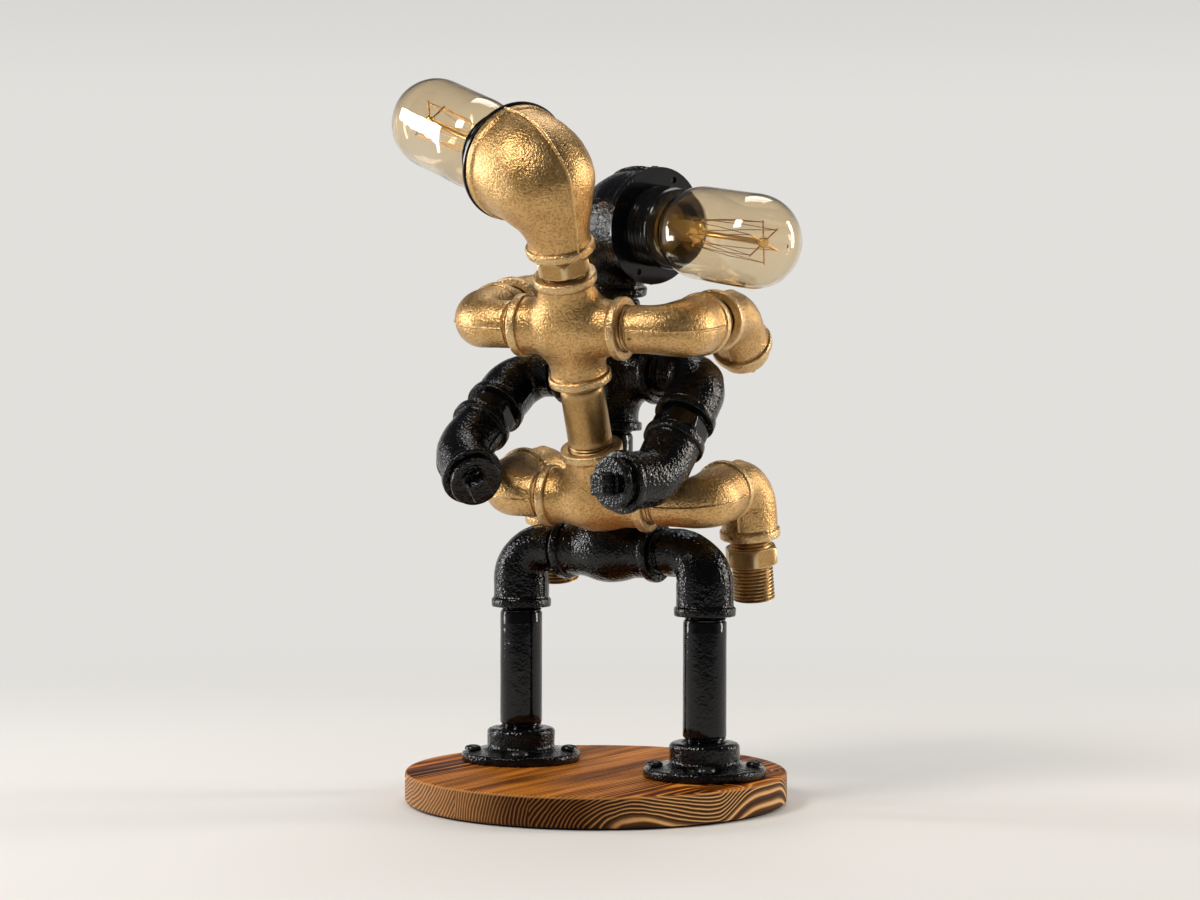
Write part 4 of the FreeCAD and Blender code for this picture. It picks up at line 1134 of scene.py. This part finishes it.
@dataclass
class StraightPipe(Shape):
    """Pipe along Z whose visible length starts at the origin."""

    segments = 80
    ending = "tube"
    lumps = 0.06
    visible: float
    radius: float = 10.65
    bare: float = 3.0

    def draw(self, skin: Skin) -> None:
        """Sweep the pipe with the run-out of its threads.

        Args:
            skin: the skin to draw on.
        """
        root, far = THREAD.root, self.visible - self.bare
        body = [(distance, self.radius) for distance in np.linspace(self.bare, far, 12)]
        skin.sweep([(-2.0, 0.0), (-2.0, root), *THREAD.turns(skin, -1.9, self.bare - 0.4), *body,
                    *THREAD.turns(skin, far + 0.4, self.visible + 1.9),
                    (self.visible + 2.0, root), (self.visible + 2.0, 0.0)])


@dataclass
class FloorFlange(Shape):
    """Floor flange on its underside: a plate with a rounded rim and a low hub."""

    segments = 128
    lumps = 0.24
    radius: float = 30.0
    rim: float = 4.8
    rim_round: float = 1.6
    plate: float = 5.6
    root: float = 20.0
    root_height: float = 7.4
    hub: float = 17.2
    hub_round: float = 2.4
    height: float = 16.8

    def draw(self, skin: Skin) -> None:
        """Turn the casting's profile.

        Args:
            skin: the skin to draw on.
        """
        edge = self.radius - self.rim_round
        shoulder = self.height - self.hub_round
        floor = self.height - THREAD.recess_depth
        skin.sweep([
            (0.0, 0.0), (0.0, self.radius - 0.9), (0.3, self.radius - 0.35), (0.9, self.radius),
            *bow((self.rim - self.rim_round, self.radius), (self.rim, edge), 7, 0.2),
            *bow((self.rim + 0.05, edge - 0.8), (self.plate, self.root + 1.4), 8, -0.01),
            *bow((self.plate + 0.1, self.root + 0.9), (self.root_height, self.hub), 7, -0.16),
            *bow((self.root_height + 0.6, self.hub - 0.15), (shoulder, self.hub), 8, 0.0),
            *bow((shoulder + 0.3, self.hub - 0.02), (self.height, self.hub - self.hub_round), 8,
                 0.19),
            (self.height, THREAD.entry), (self.height - 0.7, THREAD.recess),
            (floor, THREAD.recess), (floor, 0.0)])


@dataclass
class HeadElbow(Shape):
    """Reducing elbow of a head: neck socket along -Z and wide mouth along +X."""

    segments = 144
    crowding = 0.8
    lumps = 0.20
    leg: float = 37.2
    mouth: float = 30.0
    radii: tuple[float, ...] = (26.4, 25.9, 23.4, 17.6, 14.7)
    bead: float = 27.6
    bead_width: float = 5.0
    bore: float = 20.9
    neck_bead: float = 16.3
    chin_reach: float = 22.0
    chin_drop: float = 30.0
    ridge: float = 1.5
    ridge_width: float = 0.5
    step: float = 0.7
    jog: float = 1.6

    def parting(self, skin: Skin, radius: float, aside: float = 0.0) -> np.ndarray:
        """Relief of the mould's parting round one ring."""
        return parting_line(skin, radius, self.ridge, self.ridge_width, self.step, aside)

    def draw(self, skin: Skin) -> None:
        """Sweep round sections about the chin, from the mouth to the neck.

        Args:
            skin: the skin to draw on.
        """
        face, bead, bore = self.mouth, self.bead, self.bore
        back = face - self.bead_width
        wide, narrow = self.radii[0], self.radii[-1]
        for distance, radius, share in (
            (face - 3.0, 0.0, 0.0), (face - 3.0, bore, 0.0), (face, bore, 0.0),
            (face, bead - 1.2, 0.0), (face - 0.25, bead - 0.5, 0.2), (face - 0.7, bead - 0.1, 0.5),
            (face - 1.3, bead, 0.7), (face - 2.3, bead, 0.7), (back + 1.4, bead, 0.7),
            (back + 0.7, bead - 0.15, 0.8), (back + 0.1, bead - 0.55, 0.9),
            (back - 0.4, wide + 0.2, 1.0), (back - 1.2, wide, 1.0),
            (self.chin_reach + 0.8, wide, 1.0),
        ):
            aside = self.jog * min(1.0, max(0.0, (distance - self.chin_reach) / 5.0))
            skin.ring(AXIS_X * distance, AXIS_Z, AXIS_Y,
                      radius + share * self.parting(skin, wide, aside))
        corner = Vector((self.chin_reach, 0, -self.chin_drop))
        mouth_offset, neck_offset = self.chin_drop - wide, self.chin_reach - narrow
        for share in np.linspace(0, 1, 64):
            angle = share * math.pi / 2
            out = Vector((-math.sin(angle), 0, math.cos(angle)))
            radius = smooth_through(self.radii, share)
            offset = mouth_offset + (neck_offset - mouth_offset) * share
            skin.ring(corner + out * (offset + radius), out, AXIS_Y,
                      radius + self.parting(skin, radius))
        for inward, radius in reversed(THREAD.mouth(narrow, self.neck_bead)):
            proud = self.parting(skin, narrow) * (0.6 if inward > 0.9 else 0.0)
            skin.ring(AXIS_Z * (inward - self.leg), -AXIS_X, AXIS_Y, radius + proud)


def smooth_through(values: Sequence[float], place: float) -> float:
    """Read a smooth curve that runs through evenly spaced values.

    Args:
        values: the values.
        place: where the curve is read, from 0 to 1.

    Returns:
        The curve's value, with level ends.
    """
    step = 1 / (len(values) - 1)
    index = int(min(place / step, len(values) - 2))
    share = place / step - index
    before, first, second, after = (values[min(max(index + shift, 0), len(values) - 1)]
                                    for shift in (-1, 0, 1, 2))
    start_slope, end_slope = (second - before) / 2, (after - first) / 2
    square, cube = share ** 2, share ** 3
    return float(first * (2 * cube - 3 * square + 1) + start_slope * (cube - 2 * square + share)
                 + second * (3 * square - 2 * cube) + end_slope * (cube - square))


# Lampholder and bulb, along +Z from the plate's front face.


@dataclass
class Lampholder(Shape):
    """Moulded holder with a threaded skirt, behind and ahead of its plate."""

    segments = 112
    ending = "moulding"
    lumps = 0.0
    skirt: float = 19.7
    bore: float = 14.5
    out: float = 16.0
    inside: float = 16.0
    collar: float = 20.8
    collar_from: float = -4.0
    collar_to: float = -1.0
    ring_from: float = 1.4
    ring_gap: float = 1.6
    ring_pitch: float = 2.6
    ring_depth: float = 0.9
    ring_steps: int = 9

    def draw(self, skin: Skin) -> None:
        """Sweep the outside with its ring thread, and the bore.

        Args:
            skin: the skin to draw on.
        """
        skirt, bore, out = self.skirt, self.bore, self.out
        start, end = self.ring_from, out - self.ring_gap
        thread = []
        for distance in np.linspace(start, end, round((end - start) / self.ring_pitch
                                                      * self.ring_steps)):
            phase = skin.helix(distance, self.ring_pitch)
            dip = np.clip(1.6 * (0.5 - np.abs(phase - 0.5)) - 0.12, 0.0, 0.45) / 0.45
            fade = min(1.0, distance - start, end - distance)
            thread.append((distance, skirt - self.ring_depth * dip * fade))
        skin.sweep([(-self.inside, bore), (-self.inside, skirt), (self.collar_from, skirt),
                    (self.collar_from, self.collar), (self.collar_to, self.collar),
                    (self.collar_to, skirt), *thread, (out - 0.9, skirt - 0.1),
                    (out - 0.25, skirt - 0.5), (out, skirt - 1.3), (out, bore + 0.8),
                    (out - 0.3, bore + 0.2), (out - 1.0, bore), (-self.inside, bore)])


@dataclass
class Bulb(Shape):
    """Tubular squirrel-cage bulb from its neck to its tip: the sizes of its glass and stem."""

    lumps = 0.0
    radius: float = 22.2
    wall: float = 0.8
    neck: float = 12.95
    start: float = 7.1
    shoulder: float = 34.5
    reach: float = 92.0
    stem: float = 5.2
    flare: float = 11.8
    flare_height: float = 13.0
    stem_height: float = 24.0
    rod: float = 1.4
    button_height: float = 4.0
    tip_gap: float = 14.0


class BulbGlass(Bulb):
    """The blown envelope."""

    segments = 112
    ending = "blown"

    def outline(self, inset: float) -> list[Station]:
        """Profile of the glass from the neck to the tip.

        Args:
            inset: how much smaller than the outside, in mm.

        Returns:
            Its stations.
        """
        ball, middle = self.radius - inset, self.reach - self.radius
        rising, closing = (np.radians(range(*limits)) for limits in ((-52, 0, 4), (4, 92, 4)))
        return [
            (self.start, self.neck - inset), (self.start + 3, self.neck - inset),
            *((self.shoulder + ball * math.sin(turn), ball * math.cos(turn)) for turn in rising),
            *((height, ball) for height in np.linspace(self.shoulder, middle, 6)),
            *((middle + ball * math.sin(min(turn, math.pi / 2)), ball * max(math.cos(turn), 0.0))
              for turn in closing)]

    def draw(self, skin: Skin) -> None:
        """Turn the inside and the outside of the glass as one closed wall.

        Args:
            skin: the skin to draw on.
        """
        outside = self.outline(0.0)
        skin.sweep([*reversed(self.outline(self.wall)), outside[0]])
        skin.sweep(outside)


class BulbStem(Bulb):
    """The flared glass stem, its pinch, its rod and its button."""

    segments = 48
    ending = "pressed"

    def draw(self, skin: Skin) -> None:
        """Turn the stem's profile.

        Args:
            skin: the skin to draw on.
        """
        start, stem, rod = self.start, self.stem, self.rod
        top = start + self.stem_height
        button = self.reach - self.tip_gap
        under = button - self.button_height
        skin.sweep([(start, 0.0), (start, self.flare - 0.6),
                    *bow((start + 0.6, self.flare), (start + self.flare_height, stem), 9, -0.16),
                    (top - 5.0, stem), (top - 1.0, stem - 0.2), (top, stem - 1.2),
                    (top + 0.4, rod + 1.0), (top + 1.6, rod), (under - 0.6, rod),
                    *bow((under, rod + 0.4), (button, rod), 9, 0.26), (button, 0.0)])


@dataclass
class BulbFilament(Bulb):
    """The hooks on the stem and the strands that zigzag between them."""

    segments = 6
    ending = "drawn"
    wire: float = 0.2
    hook: float = 0.4
    hook_overhang: float = 0.8
    low: float = 6.5
    high: float = 9.5
    slack: float = 0.9
    strands: int = 12

    def draw(self, skin: Skin) -> None:
        """Draw a hook at each bend of the wire and two strands from each upper hook.

        Args:
            skin: the skin to draw on.
        """
        low = AXIS_Z * (self.start + self.stem_height - 2 * self.wire)
        high = AXIS_Z * (self.reach - self.tip_gap - self.button_height / 2)
        hooks = self.strands // 2
        for index in range(hooks):
            bottom, top, after = (around(360 * (index + shift) / hooks) for shift in (0, 0.5, 1))
            for way, inner, outer, height in ((bottom, self.stem, self.low, low),
                                              (top, self.rod, self.high, high)):
                tip = way * (outer + self.hook_overhang) + height
                skin.wire([way * inner + height, tip], self.hook)
            for foot in (bottom, after):
                start, end = foot * self.low + low, top * self.high + high
                middle = (start + end) / 2
                bowed = middle + across(middle, AXIS_Z) * self.slack
                skin.wire([start, start.lerp(bowed, 0.55), bowed, bowed.lerp(end, 0.45), end],
                          self.wire)


# The lamp.


@dataclass
class WoodBase:
    """Round pine base and the screws of its flanges."""

    radius: float = 94.5
    thickness: float = 14.8
    felt: float = 1.0
    edge: float = 1.5
    screw_circle: float = 24.4
    screw_turn: float = 33.0
    screws: int = 4
    head: float = 4.2
    head_seat: float = 5.58

    @property
    def top(self) -> float:
        """Height of the board's top face."""
        return self.felt + self.thickness

    def build_board(self) -> None:
        """Turn the board with its rounded edges."""
        skin = Skin(256)
        rim = self.radius - self.edge
        stations: list[Station] = [(self.felt, 0.0), (self.felt, rim)]
        for low, turn in ((self.felt + self.edge, -90), (self.top - self.edge, 0)):
            for step in range(7):
                angle = math.radians(turn + 15 * step)
                stations.append((low + self.edge * math.sin(angle),
                                 rim + self.edge * math.cos(angle)))
        skin.sweep([*stations, (self.top, 0.0)])
        Piece("base_disc", "base", BurntPine()).dress(skin, Stand(), "board")

    def build_screws(self, flanges: Sequence[Vector]) -> None:
        """Turn the pan heads of the flange screws, each with a cross recess.

        Args:
            flanges: middle of each flange on the board's top.
        """
        skin = Skin(48)
        slot = 0.5 * (1 + np.cos(4 * skin.angles)) ** 3 / 8
        for flange in flanges:
            for index in range(self.screws):
                way = around(self.screw_turn + 360 * index / self.screws)
                spot = flange + way * self.screw_circle
                skin.open = False
                for height, share, sunk in (
                    (-3.0, 0.0, 0.0), (-3.0, 0.5, 0.0), (0.0, 0.6, 0.0), (0.0, 1.0, 0.0),
                    (0.5, 1.0, 0.0), (1.2, 0.93, 0.0), (1.7, 0.78, 0.0), (2.0, 0.55, 0.0),
                    (2.0, 0.5, 0.5), (2.0, 0.2, 1.0), (1.4, 0.0, 0.0),
                ):
                    skin.ring(spot + AXIS_Z * (self.head_seat + height), AXIS_X, AXIS_Y,
                              self.head * share)
                    skin.points[-1][:, 2] -= slot * sunk
        Piece("flange_screws", "base", PAINTED_STEEL).dress(skin, Stand(), "pan_heads")


@dataclass
class Figure:
    """What both figures share: their coat, their bodies and their sizes."""

    coat: Coat = Coat.BLACK
    prefix: str = "black"
    face: float = 30.3
    tail: float = 37.4
    engaged: float = 11.5
    tee_leg: float = 28.1
    half_leg: float = 24.4
    half_turn: float = 45.0
    head_leg: float = 37.2
    head_mouth: float = 30.0
    neck_gap: float = 11.5
    plate_thickness: float = 1.0
    plate_turn: float = -25.6
    spine: float = 87.4
    lean_front: float = 7.5
    lean_side: float = 6.2
    gaze: float = -18.2

    @property
    def span(self) -> float:
        """Middle of a tee to the middle of the elbow in its end."""
        return self.tee_leg + self.tail - self.engaged

    @property
    def lean(self) -> Vector:
        """Direction of the neck for an upright chest."""
        return turned(turned(AXIS_Z, AXIS_Y, self.lean_side), AXIS_X, self.lean_front)

    def fit(self, shape: Shape, part: str, stand: Stand, body: str = "base",
            finish: Finish | None = None) -> None:
        """Build a part of this figure, in its own paint unless a finish is given.

        Args:
            shape: the part's shape.
            part: its node without the figure's prefix.
            stand: where it stands.
            body: the body that it moves with.
            finish: its finish, if not the paint.
        """
        steel = part.endswith(("_pipe", "_nipple"))
        piece = Piece(f"{self.prefix}_{part}", body, finish or self.coat.value[int(steel)])
        shape.build(piece, stand)

    def trunk(self, hips: Vector, chest: Vector, right: Vector, up: Vector) -> None:
        """Build the hip tee, the spine pipe and the cross.

        Args:
            hips: middle of the tee.
            chest: middle of the cross.
            right: the figure's right.
            up: direction of the spine.
        """
        self.fit(BranchFitting(), "hip_tee", Stand.facing(hips, right, up))
        self.fit(StraightPipe(self.spine - 2 * self.tee_leg), "spine_pipe",
                 Stand.facing(hips + up * self.tee_leg, right, up))
        self.fit(BranchFitting((AXIS_X, -AXIS_X, -AXIS_Z, self.lean)), "cross",
                 Stand.facing(chest, right, up))

    def arm(self, name: str, shoulder: Vector, side: Vector, forearm: Vector, hand: Vector,
            gap: float, nipple: HexNipple) -> None:
        """Build a shoulder elbow, a nipple, a 45-degree elbow and a plug.

        Args:
            name: left or right.
            shoulder: middle of the shoulder elbow.
            side: outward direction of the shoulder.
            forearm: direction of the forearm.
            hand: direction that the hand bends to.
            gap: distance between the two sockets on the nipple.
            nipple: the nipple.
        """
        middle = shoulder + forearm * (self.face + gap / 2)
        wrist = shoulder + forearm * (self.face + gap + self.half_leg)
        outlet = turned(forearm, forearm.cross(hand), self.half_turn)
        self.fit(StreetElbow(), f"{name}_shoulder_elbow", Stand.facing(shoulder, side, forearm))
        self.fit(nipple, f"{name}_arm_nipple", Stand.facing(middle, side, forearm))
        self.fit(HalfElbow(), f"{name}_hand_elbow", Stand.facing(wrist, forearm, hand))
        self.fit(SquarePlug(), f"{name}_hand_plug",
                 Stand.facing(wrist + outlet * self.half_leg, side, outlet))

    def head(self, chest: Vector, neck: Vector, gaze: Vector) -> None:
        """Build the neck nipple, the head, the lampholder and the bulb.

        Args:
            chest: middle of the cross.
            neck: direction of the neck.
            gaze: direction that the bulb points to.
        """
        head_body, bulb_body = f"{self.prefix}_head", f"{self.prefix}_bulb"
        collar = chest + neck * (self.tee_leg + self.neck_gap / 2)
        middle = chest + neck * (self.tee_leg + self.neck_gap + self.head_leg)
        front = middle + gaze * (self.head_mouth + self.plate_thickness)
        holder = Stand.facing(front, turned(neck, gaze, self.plate_turn), gaze)
        self.fit(hex_nipple(), "neck_nipple", Stand.facing(collar, gaze, neck))
        self.fit(HeadElbow(), "head_elbow", Stand.facing(middle, gaze, neck), head_body)
        self.fit(Lampholder(), "holder_body", holder, head_body, HOLDER_RESIN)
        self.fit(BulbGlass(), "bulb_glass", holder, bulb_body, BLOWN_GLASS)
        self.fit(BulbStem(), "bulb_stem", holder, bulb_body, STEM_GLASS_PAINTED_SHINE)
        self.fit(BulbFilament(), "bulb_filament", holder, bulb_body, FILAMENT_WIRE)


@dataclass
class BlackFigure(Figure):
    """Figure that stands on the base."""

    hips: Vector = Vector((3.6, 8.0, 124.3))
    drops: tuple[float, float] = (36.0, 47.7)
    hand_turns: tuple[float, float] = (4.8, -67.6)
    flange_height: float = 16.8

    def feet(self, top: float) -> list[Vector]:
        """Middle of each floor flange on a base of the given height."""
        return [Vector((self.hips.x + side * self.span, self.hips.y, top)) for side in (-1, 1)]

    def build(self, top: float) -> None:
        """Build the figure from its feet to its head.

        Args:
            top: height of the base's top.
        """
        sides = (("left", -AXIS_X), ("right", AXIS_X))
        for (name, side), foot in zip(sides, self.feet(top)):
            hip = self.hips + side * self.span
            start = foot + AXIS_Z * self.flange_height
            self.fit(StreetElbow(), f"{name}_hip_elbow", Stand.facing(hip, side, -AXIS_Z))
            flange = Piece(f"{name}_floor_flange", "base", self.coat.value[0])
            FloorFlange().build(flange, Stand(foot))
            self.fit(StraightPipe(hip.z - self.face - start.z), f"{name}_leg_pipe", Stand(start))
        chest = self.hips + AXIS_Z * self.spine
        self.trunk(self.hips, chest, AXIS_X, AXIS_Z)
        for (name, side), drop, turn in zip(sides, self.drops, self.hand_turns):
            forearm = turned(-AXIS_Y, AXIS_X, drop)
            below = turned(-AXIS_Z, AXIS_X, drop)
            angle = math.radians(turn)
            hand = side * -math.cos(angle) + below * math.sin(angle)
            self.arm(name, chest + side * self.span, side, forearm, hand, self.neck_gap,
                     hex_nipple())
        self.head(chest, self.lean, across(around(self.gaze), self.lean))


@dataclass
class GoldFigure(Figure):
    """Figure that hangs on the front of the black one."""

    coat: Coat = Coat.GOLD
    prefix: str = "gold"
    spine: float = 90.5
    lean_front: float = 3.8
    lean_side: float = 2.6
    gaze: float = 147.9
    chest: Vector = Vector((21.958, -55.839, 233.755))
    tilt: float = 23.7
    sway: float = 5.0
    twist: float = 5.8
    close_gap: float = 12.0
    reaches: tuple[float, float] = (-12.6, -17.1)
    hand_turns: tuple[float, float] = (-10.0, 6.2)
    thighs: tuple[float, float] = (-10.6, -12.4)
    shin_turns: tuple[float, float] = (0.0, 1.7)

    def build(self) -> None:
        """Build the figure from its hips to its head."""
        tilt, sway = math.radians(self.tilt), math.radians(self.sway)
        up = Vector((math.sin(sway), -math.sin(tilt), math.cos(tilt))).normalized()
        right = turned(across(AXIS_X, up), up, self.twist)
        ahead = up.cross(right)
        hips = self.chest - up * self.spine
        self.trunk(hips, self.chest, right, up)
        for index, (name, side) in enumerate((("left", -right), ("right", right))):
            forearm = turned(ahead, right, self.reaches[index])
            below = turned(-up, right, self.reaches[index])
            angle = math.radians(self.hand_turns[index])
            hand = below * math.cos(angle) - side * math.sin(angle)
            self.arm(name, self.chest + side * self.span, side, forearm, hand, self.close_gap,
                     close_nipple(self.close_gap))
            thigh = turned(ahead, right, self.thighs[index])
            shin = turned(thigh.cross(right), thigh, -self.shin_turns[index])
            self.leg(name, hips + side * self.span, side, thigh, shin)
        neck = right * self.lean.x + ahead * self.lean.y + up * self.lean.z
        angle = math.radians(self.gaze)
        self.head(self.chest, neck,
                  across(right * math.cos(angle) + ahead * math.sin(angle), neck))

    def leg(self, name: str, hip: Vector, side: Vector, thigh: Vector, shin: Vector) -> None:
        """Build a thigh elbow, a shin elbow and a foot nipple.

        Args:
            name: left or right.
            hip: middle of the thigh elbow.
            side: outward direction of the hip.
            thigh: direction of the thigh.
            shin: direction of the shin.
        """
        knee = hip + thigh * (self.face + self.tail - self.engaged)
        self.fit(StreetElbow(), f"{name}_thigh_elbow", Stand.facing(hip, side, thigh))
        self.fit(StreetElbow(), f"{name}_shin_elbow", Stand.facing(knee, thigh, shin))
        self.fit(foot_nipple(), f"{name}_foot_nipple",
                 Stand.facing(knee + shin * self.face, thigh, shin))


KEPT = {
    "felt_disc": WOOL_FELT,
    "inlet_grommet": MOULDED_RUBBER,
    "link_stud": ZINC_STEEL,
    "_holder_plate": PLATE_LACQUER,
    "_holder_insert": GLAZED_PORCELAIN,
    "_holder_brass": PLATED_BRASS,
    "_bulb_cap": PLATED_BRASS,
}


def dress_kept_nodes() -> None:
    """Give the CAD solids that stay their finishes."""
    for name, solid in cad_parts.items():
        for ending, finish in KEPT.items():
            if name.endswith(ending):
                solid.data.materials.clear()
                solid.data.materials.append(finish.material())
                log.info("%s: kept, %s", name, finish.name)


# Studio.


BACKDROP = "#e2e0dc"
DIM_ROOM = "#505054"
FRONT = -57.3


@dataclass(frozen=True)
class PaleFloor(Finish):
    """Seamless pale paper under the lamp: matt, with a faint tooth."""

    name: str = "pale_paper"
    slot: str = ""
    near: float = 0.22
    far: float = 0.9
    tooth: float = 1.2
    tooth_height: float = 0.05

    def lay(self, add: Adder) -> Node:
        """Lay matt paper near the lamp that runs into the plain backdrop further out.

        Args:
            add: adds a node to the material.

        Returns:
            The shader.
        """
        spot = add("TexCoord").outputs["Object"]
        tooth = add("TexNoise", {"Vector": spot, "Scale": per_metre(self.tooth)})
        bump = add("Bump", {"Height": tooth, "Strength": 0.1, "Distance": self.tooth_height * MM})
        paper = add("BsdfPrincipled", {"Base Color": BACKDROP, "Roughness": 0.9, "Normal": bump})
        backdrop = add("Mix", {0: dim_front(add, spot, self.near, self.far), 6: BACKDROP,
                               7: DIM_ROOM}, data_type="RGBA")
        glow = add("Emission", {"Color": backdrop})
        away = add("VectorMath", {0: spot}, operation="LENGTH")
        out = add("MapRange", {"Value": away, "From Min": self.near, "From Max": self.far},
                  interpolation_type="SMOOTHERSTEP")
        shown = add("Math", {0: out, 1: background_rays(add)}, operation="MULTIPLY")
        return add("MixShader", {0: shown, 1: paper, 2: glow})


def background_rays(add: Adder) -> Node:
    """Find the rays that should see the plain backdrop: from the camera, metal or glass.

    Args:
        add: adds a node to the material or the world.

    Returns:
        1 for such a ray, else 0.
    """
    path = add("LightPath").outputs
    seen = add("Math", {0: path["Is Camera Ray"], 1: path["Is Glossy Ray"]}, operation="MAXIMUM")
    return add("Math", {0: seen, 1: path["Is Transmission Ray"]}, operation="MAXIMUM")


def dim_front(add: Adder, spot: Socket, near: float, far: float) -> Node:
    """Find where gloss and metal see the dim side of the studio, in front of the lamp.

    What is seen through glass stays pale, although Cycles counts it as glossy too.

    Args:
        add: adds a node to the material or the world.
        spot: place or direction.
        near: distance to the front at which it starts to darken.
        far: distance at which it is dark.

    Returns:
        The share of darkness, 0 for rays from the camera and through glass.
    """
    along = add("VectorMath", {0: spot, 1: tuple(around(FRONT))}, operation="DOT_PRODUCT")
    front = add("MapRange", {"Value": along, "From Min": near, "From Max": far},
                interpolation_type="SMOOTHSTEP")
    path = add("LightPath").outputs
    mirrored = add("Math", {0: path["Is Glossy Ray"], 1: path["Is Transmission Ray"]},
                   operation="SUBTRACT", use_clamp=True)
    return add("Math", {0: front, 1: mirrored}, operation="MULTIPLY")


@dataclass
class Softbox:
    """One soft lamp, aimed at the object."""

    name: str
    bearing: float
    elevation: float
    distance: float
    width: float
    height: float
    watts: float
    colour: str = "#ffffff"

    def build(self, target: Vector) -> None:
        """Hang the lamp round a target, at a bearing from the camera's side.

        Args:
            target: place that it lights, in metres.
        """
        data = bpy.data.lights.new(self.name, "AREA")
        data.shape = "RECTANGLE"
        data.size, data.size_y = self.width, self.height
        data.energy = self.watts
        data.color = linear(self.colour)[:3]
        lamp = put(self.name, data)
        level, rise = math.radians(self.bearing), math.radians(self.elevation)
        away = Vector((math.sin(level) * math.cos(rise), -math.cos(level) * math.cos(rise),
                       math.sin(rise)))
        lamp.location = target + away * self.distance
        lamp.rotation_euler = away.to_track_quat("Z", "Y").to_euler()


@dataclass
class Studio:
    """Floor, backdrop, soft lamps and camera."""

    azimuth: float = 32.711596
    camera_distance: float = 1387.51
    camera_height: float = 206.629
    pixels_per_radian: float = 2807.06
    yaw: float = 0.066422
    pitch: float = -1.344528
    roll: float = -0.132011
    frame_width: int = 1200
    sensor: float = 36.0
    aim_height: float = 190.0
    floor_radii: tuple[float, ...] = (0.0, 400.0, 6000.0)

    def build_floor(self) -> None:
        """Lay the floor and colour the world."""
        skin = Skin(96)
        skin.sweep([(0.0, radius) for radius in self.floor_radii])
        mesh = skin.mesh("floor", Stand())
        mesh.flip_normals()
        floor = put("floor", mesh)
        mesh.materials.append(PaleFloor().material())
        world = bpy.data.worlds.new("studio")
        bpy.context.scene.world = world
        world.use_nodes = True
        world.node_tree.nodes.clear()
        add = partial(add_node, world.node_tree)
        room = add("Background", {"Color": "#f4f5f7", "Strength": 0.42})
        # The studio is dim overhead and in front, so that gloss and metal show the soft lamps.
        ray = add("TexCoord").outputs["Generated"]
        height = add("SeparateXYZ", {"Vector": ray}).outputs["Z"]
        overhead = add("MapRange", {"Value": height, "From Min": 0.10, "From Max": 0.45})
        dim = add("Math", {0: overhead, 1: dim_front(add, ray, -0.2, 0.7)}, operation="MAXIMUM")
        sky = add("ValToRGB", {"Fac": dim}, ((0.0, BACKDROP), (1.0, DIM_ROOM)))
        backdrop = add("Background", {"Color": sky, "Strength": 1.0})
        mixed = add("MixShader", {0: background_rays(add), 1: room, 2: backdrop})
        add("OutputWorld", {"Surface": mixed})

    def build_lamps(self) -> None:
        """Hang a key lamp, two tall strips beside the lamp and one above its back."""
        for softbox in (
            Softbox("key_softbox", self.azimuth - 46, 40, 1.5, 0.45, 0.45, 12.0, "#fff8f0"),
            Softbox("left_strip", self.azimuth - 104, 10, 1.3, 0.2, 0.9, 8.0),
            Softbox("right_strip", self.azimuth + 98, 14, 1.3, 0.2, 0.9, 9.0, "#fff6ea"),
            Softbox("back_softbox", self.azimuth + 165, 62, 1.5, 0.7, 0.7, 5.0),
        ):
            softbox.build(AXIS_Z * self.aim_height * MM)

    def build_camera(self) -> None:
        """Stand the camera at the lamp's viewing angle."""
        right, back = around(self.azimuth), around(self.azimuth - 90)
        aim = (Matrix.Rotation(math.radians(self.roll), 3, "Z")
               @ Matrix.Rotation(math.radians(-self.pitch), 3, "X")
               @ Matrix.Rotation(math.radians(self.yaw), 3, "Y") @ Matrix((right, AXIS_Z, back)))
        data = bpy.data.cameras.new("camera")
        data.sensor_width = self.sensor
        data.lens = self.pixels_per_radian / self.frame_width * self.sensor
        camera = put("camera", data)
        place = back * self.camera_distance + AXIS_Z * self.camera_height
        camera.matrix_world = Matrix.Translation(place * MM) @ aim.transposed().to_4x4()
        bpy.context.scene.camera = camera

    def build(self) -> None:
        """Set up the whole studio."""
        bpy.context.scene.view_settings.view_transform = "Standard"
        self.build_floor()
        self.build_lamps()
        self.build_camera()
        log.info("studio: floor, lamps and camera")


def main() -> None:
    """Build the studio and the lamp."""
    logging.basicConfig(level=logging.INFO, format="%(name)s %(message)s")
    Studio().build()
    base = WoodBase()
    black = BlackFigure()
    base.build_board()
    base.build_screws(black.feet(base.top))
    black.build(base.top)
    GoldFigure().build()
    dress_kept_nodes()


if __name__ == "__main__":
    main()
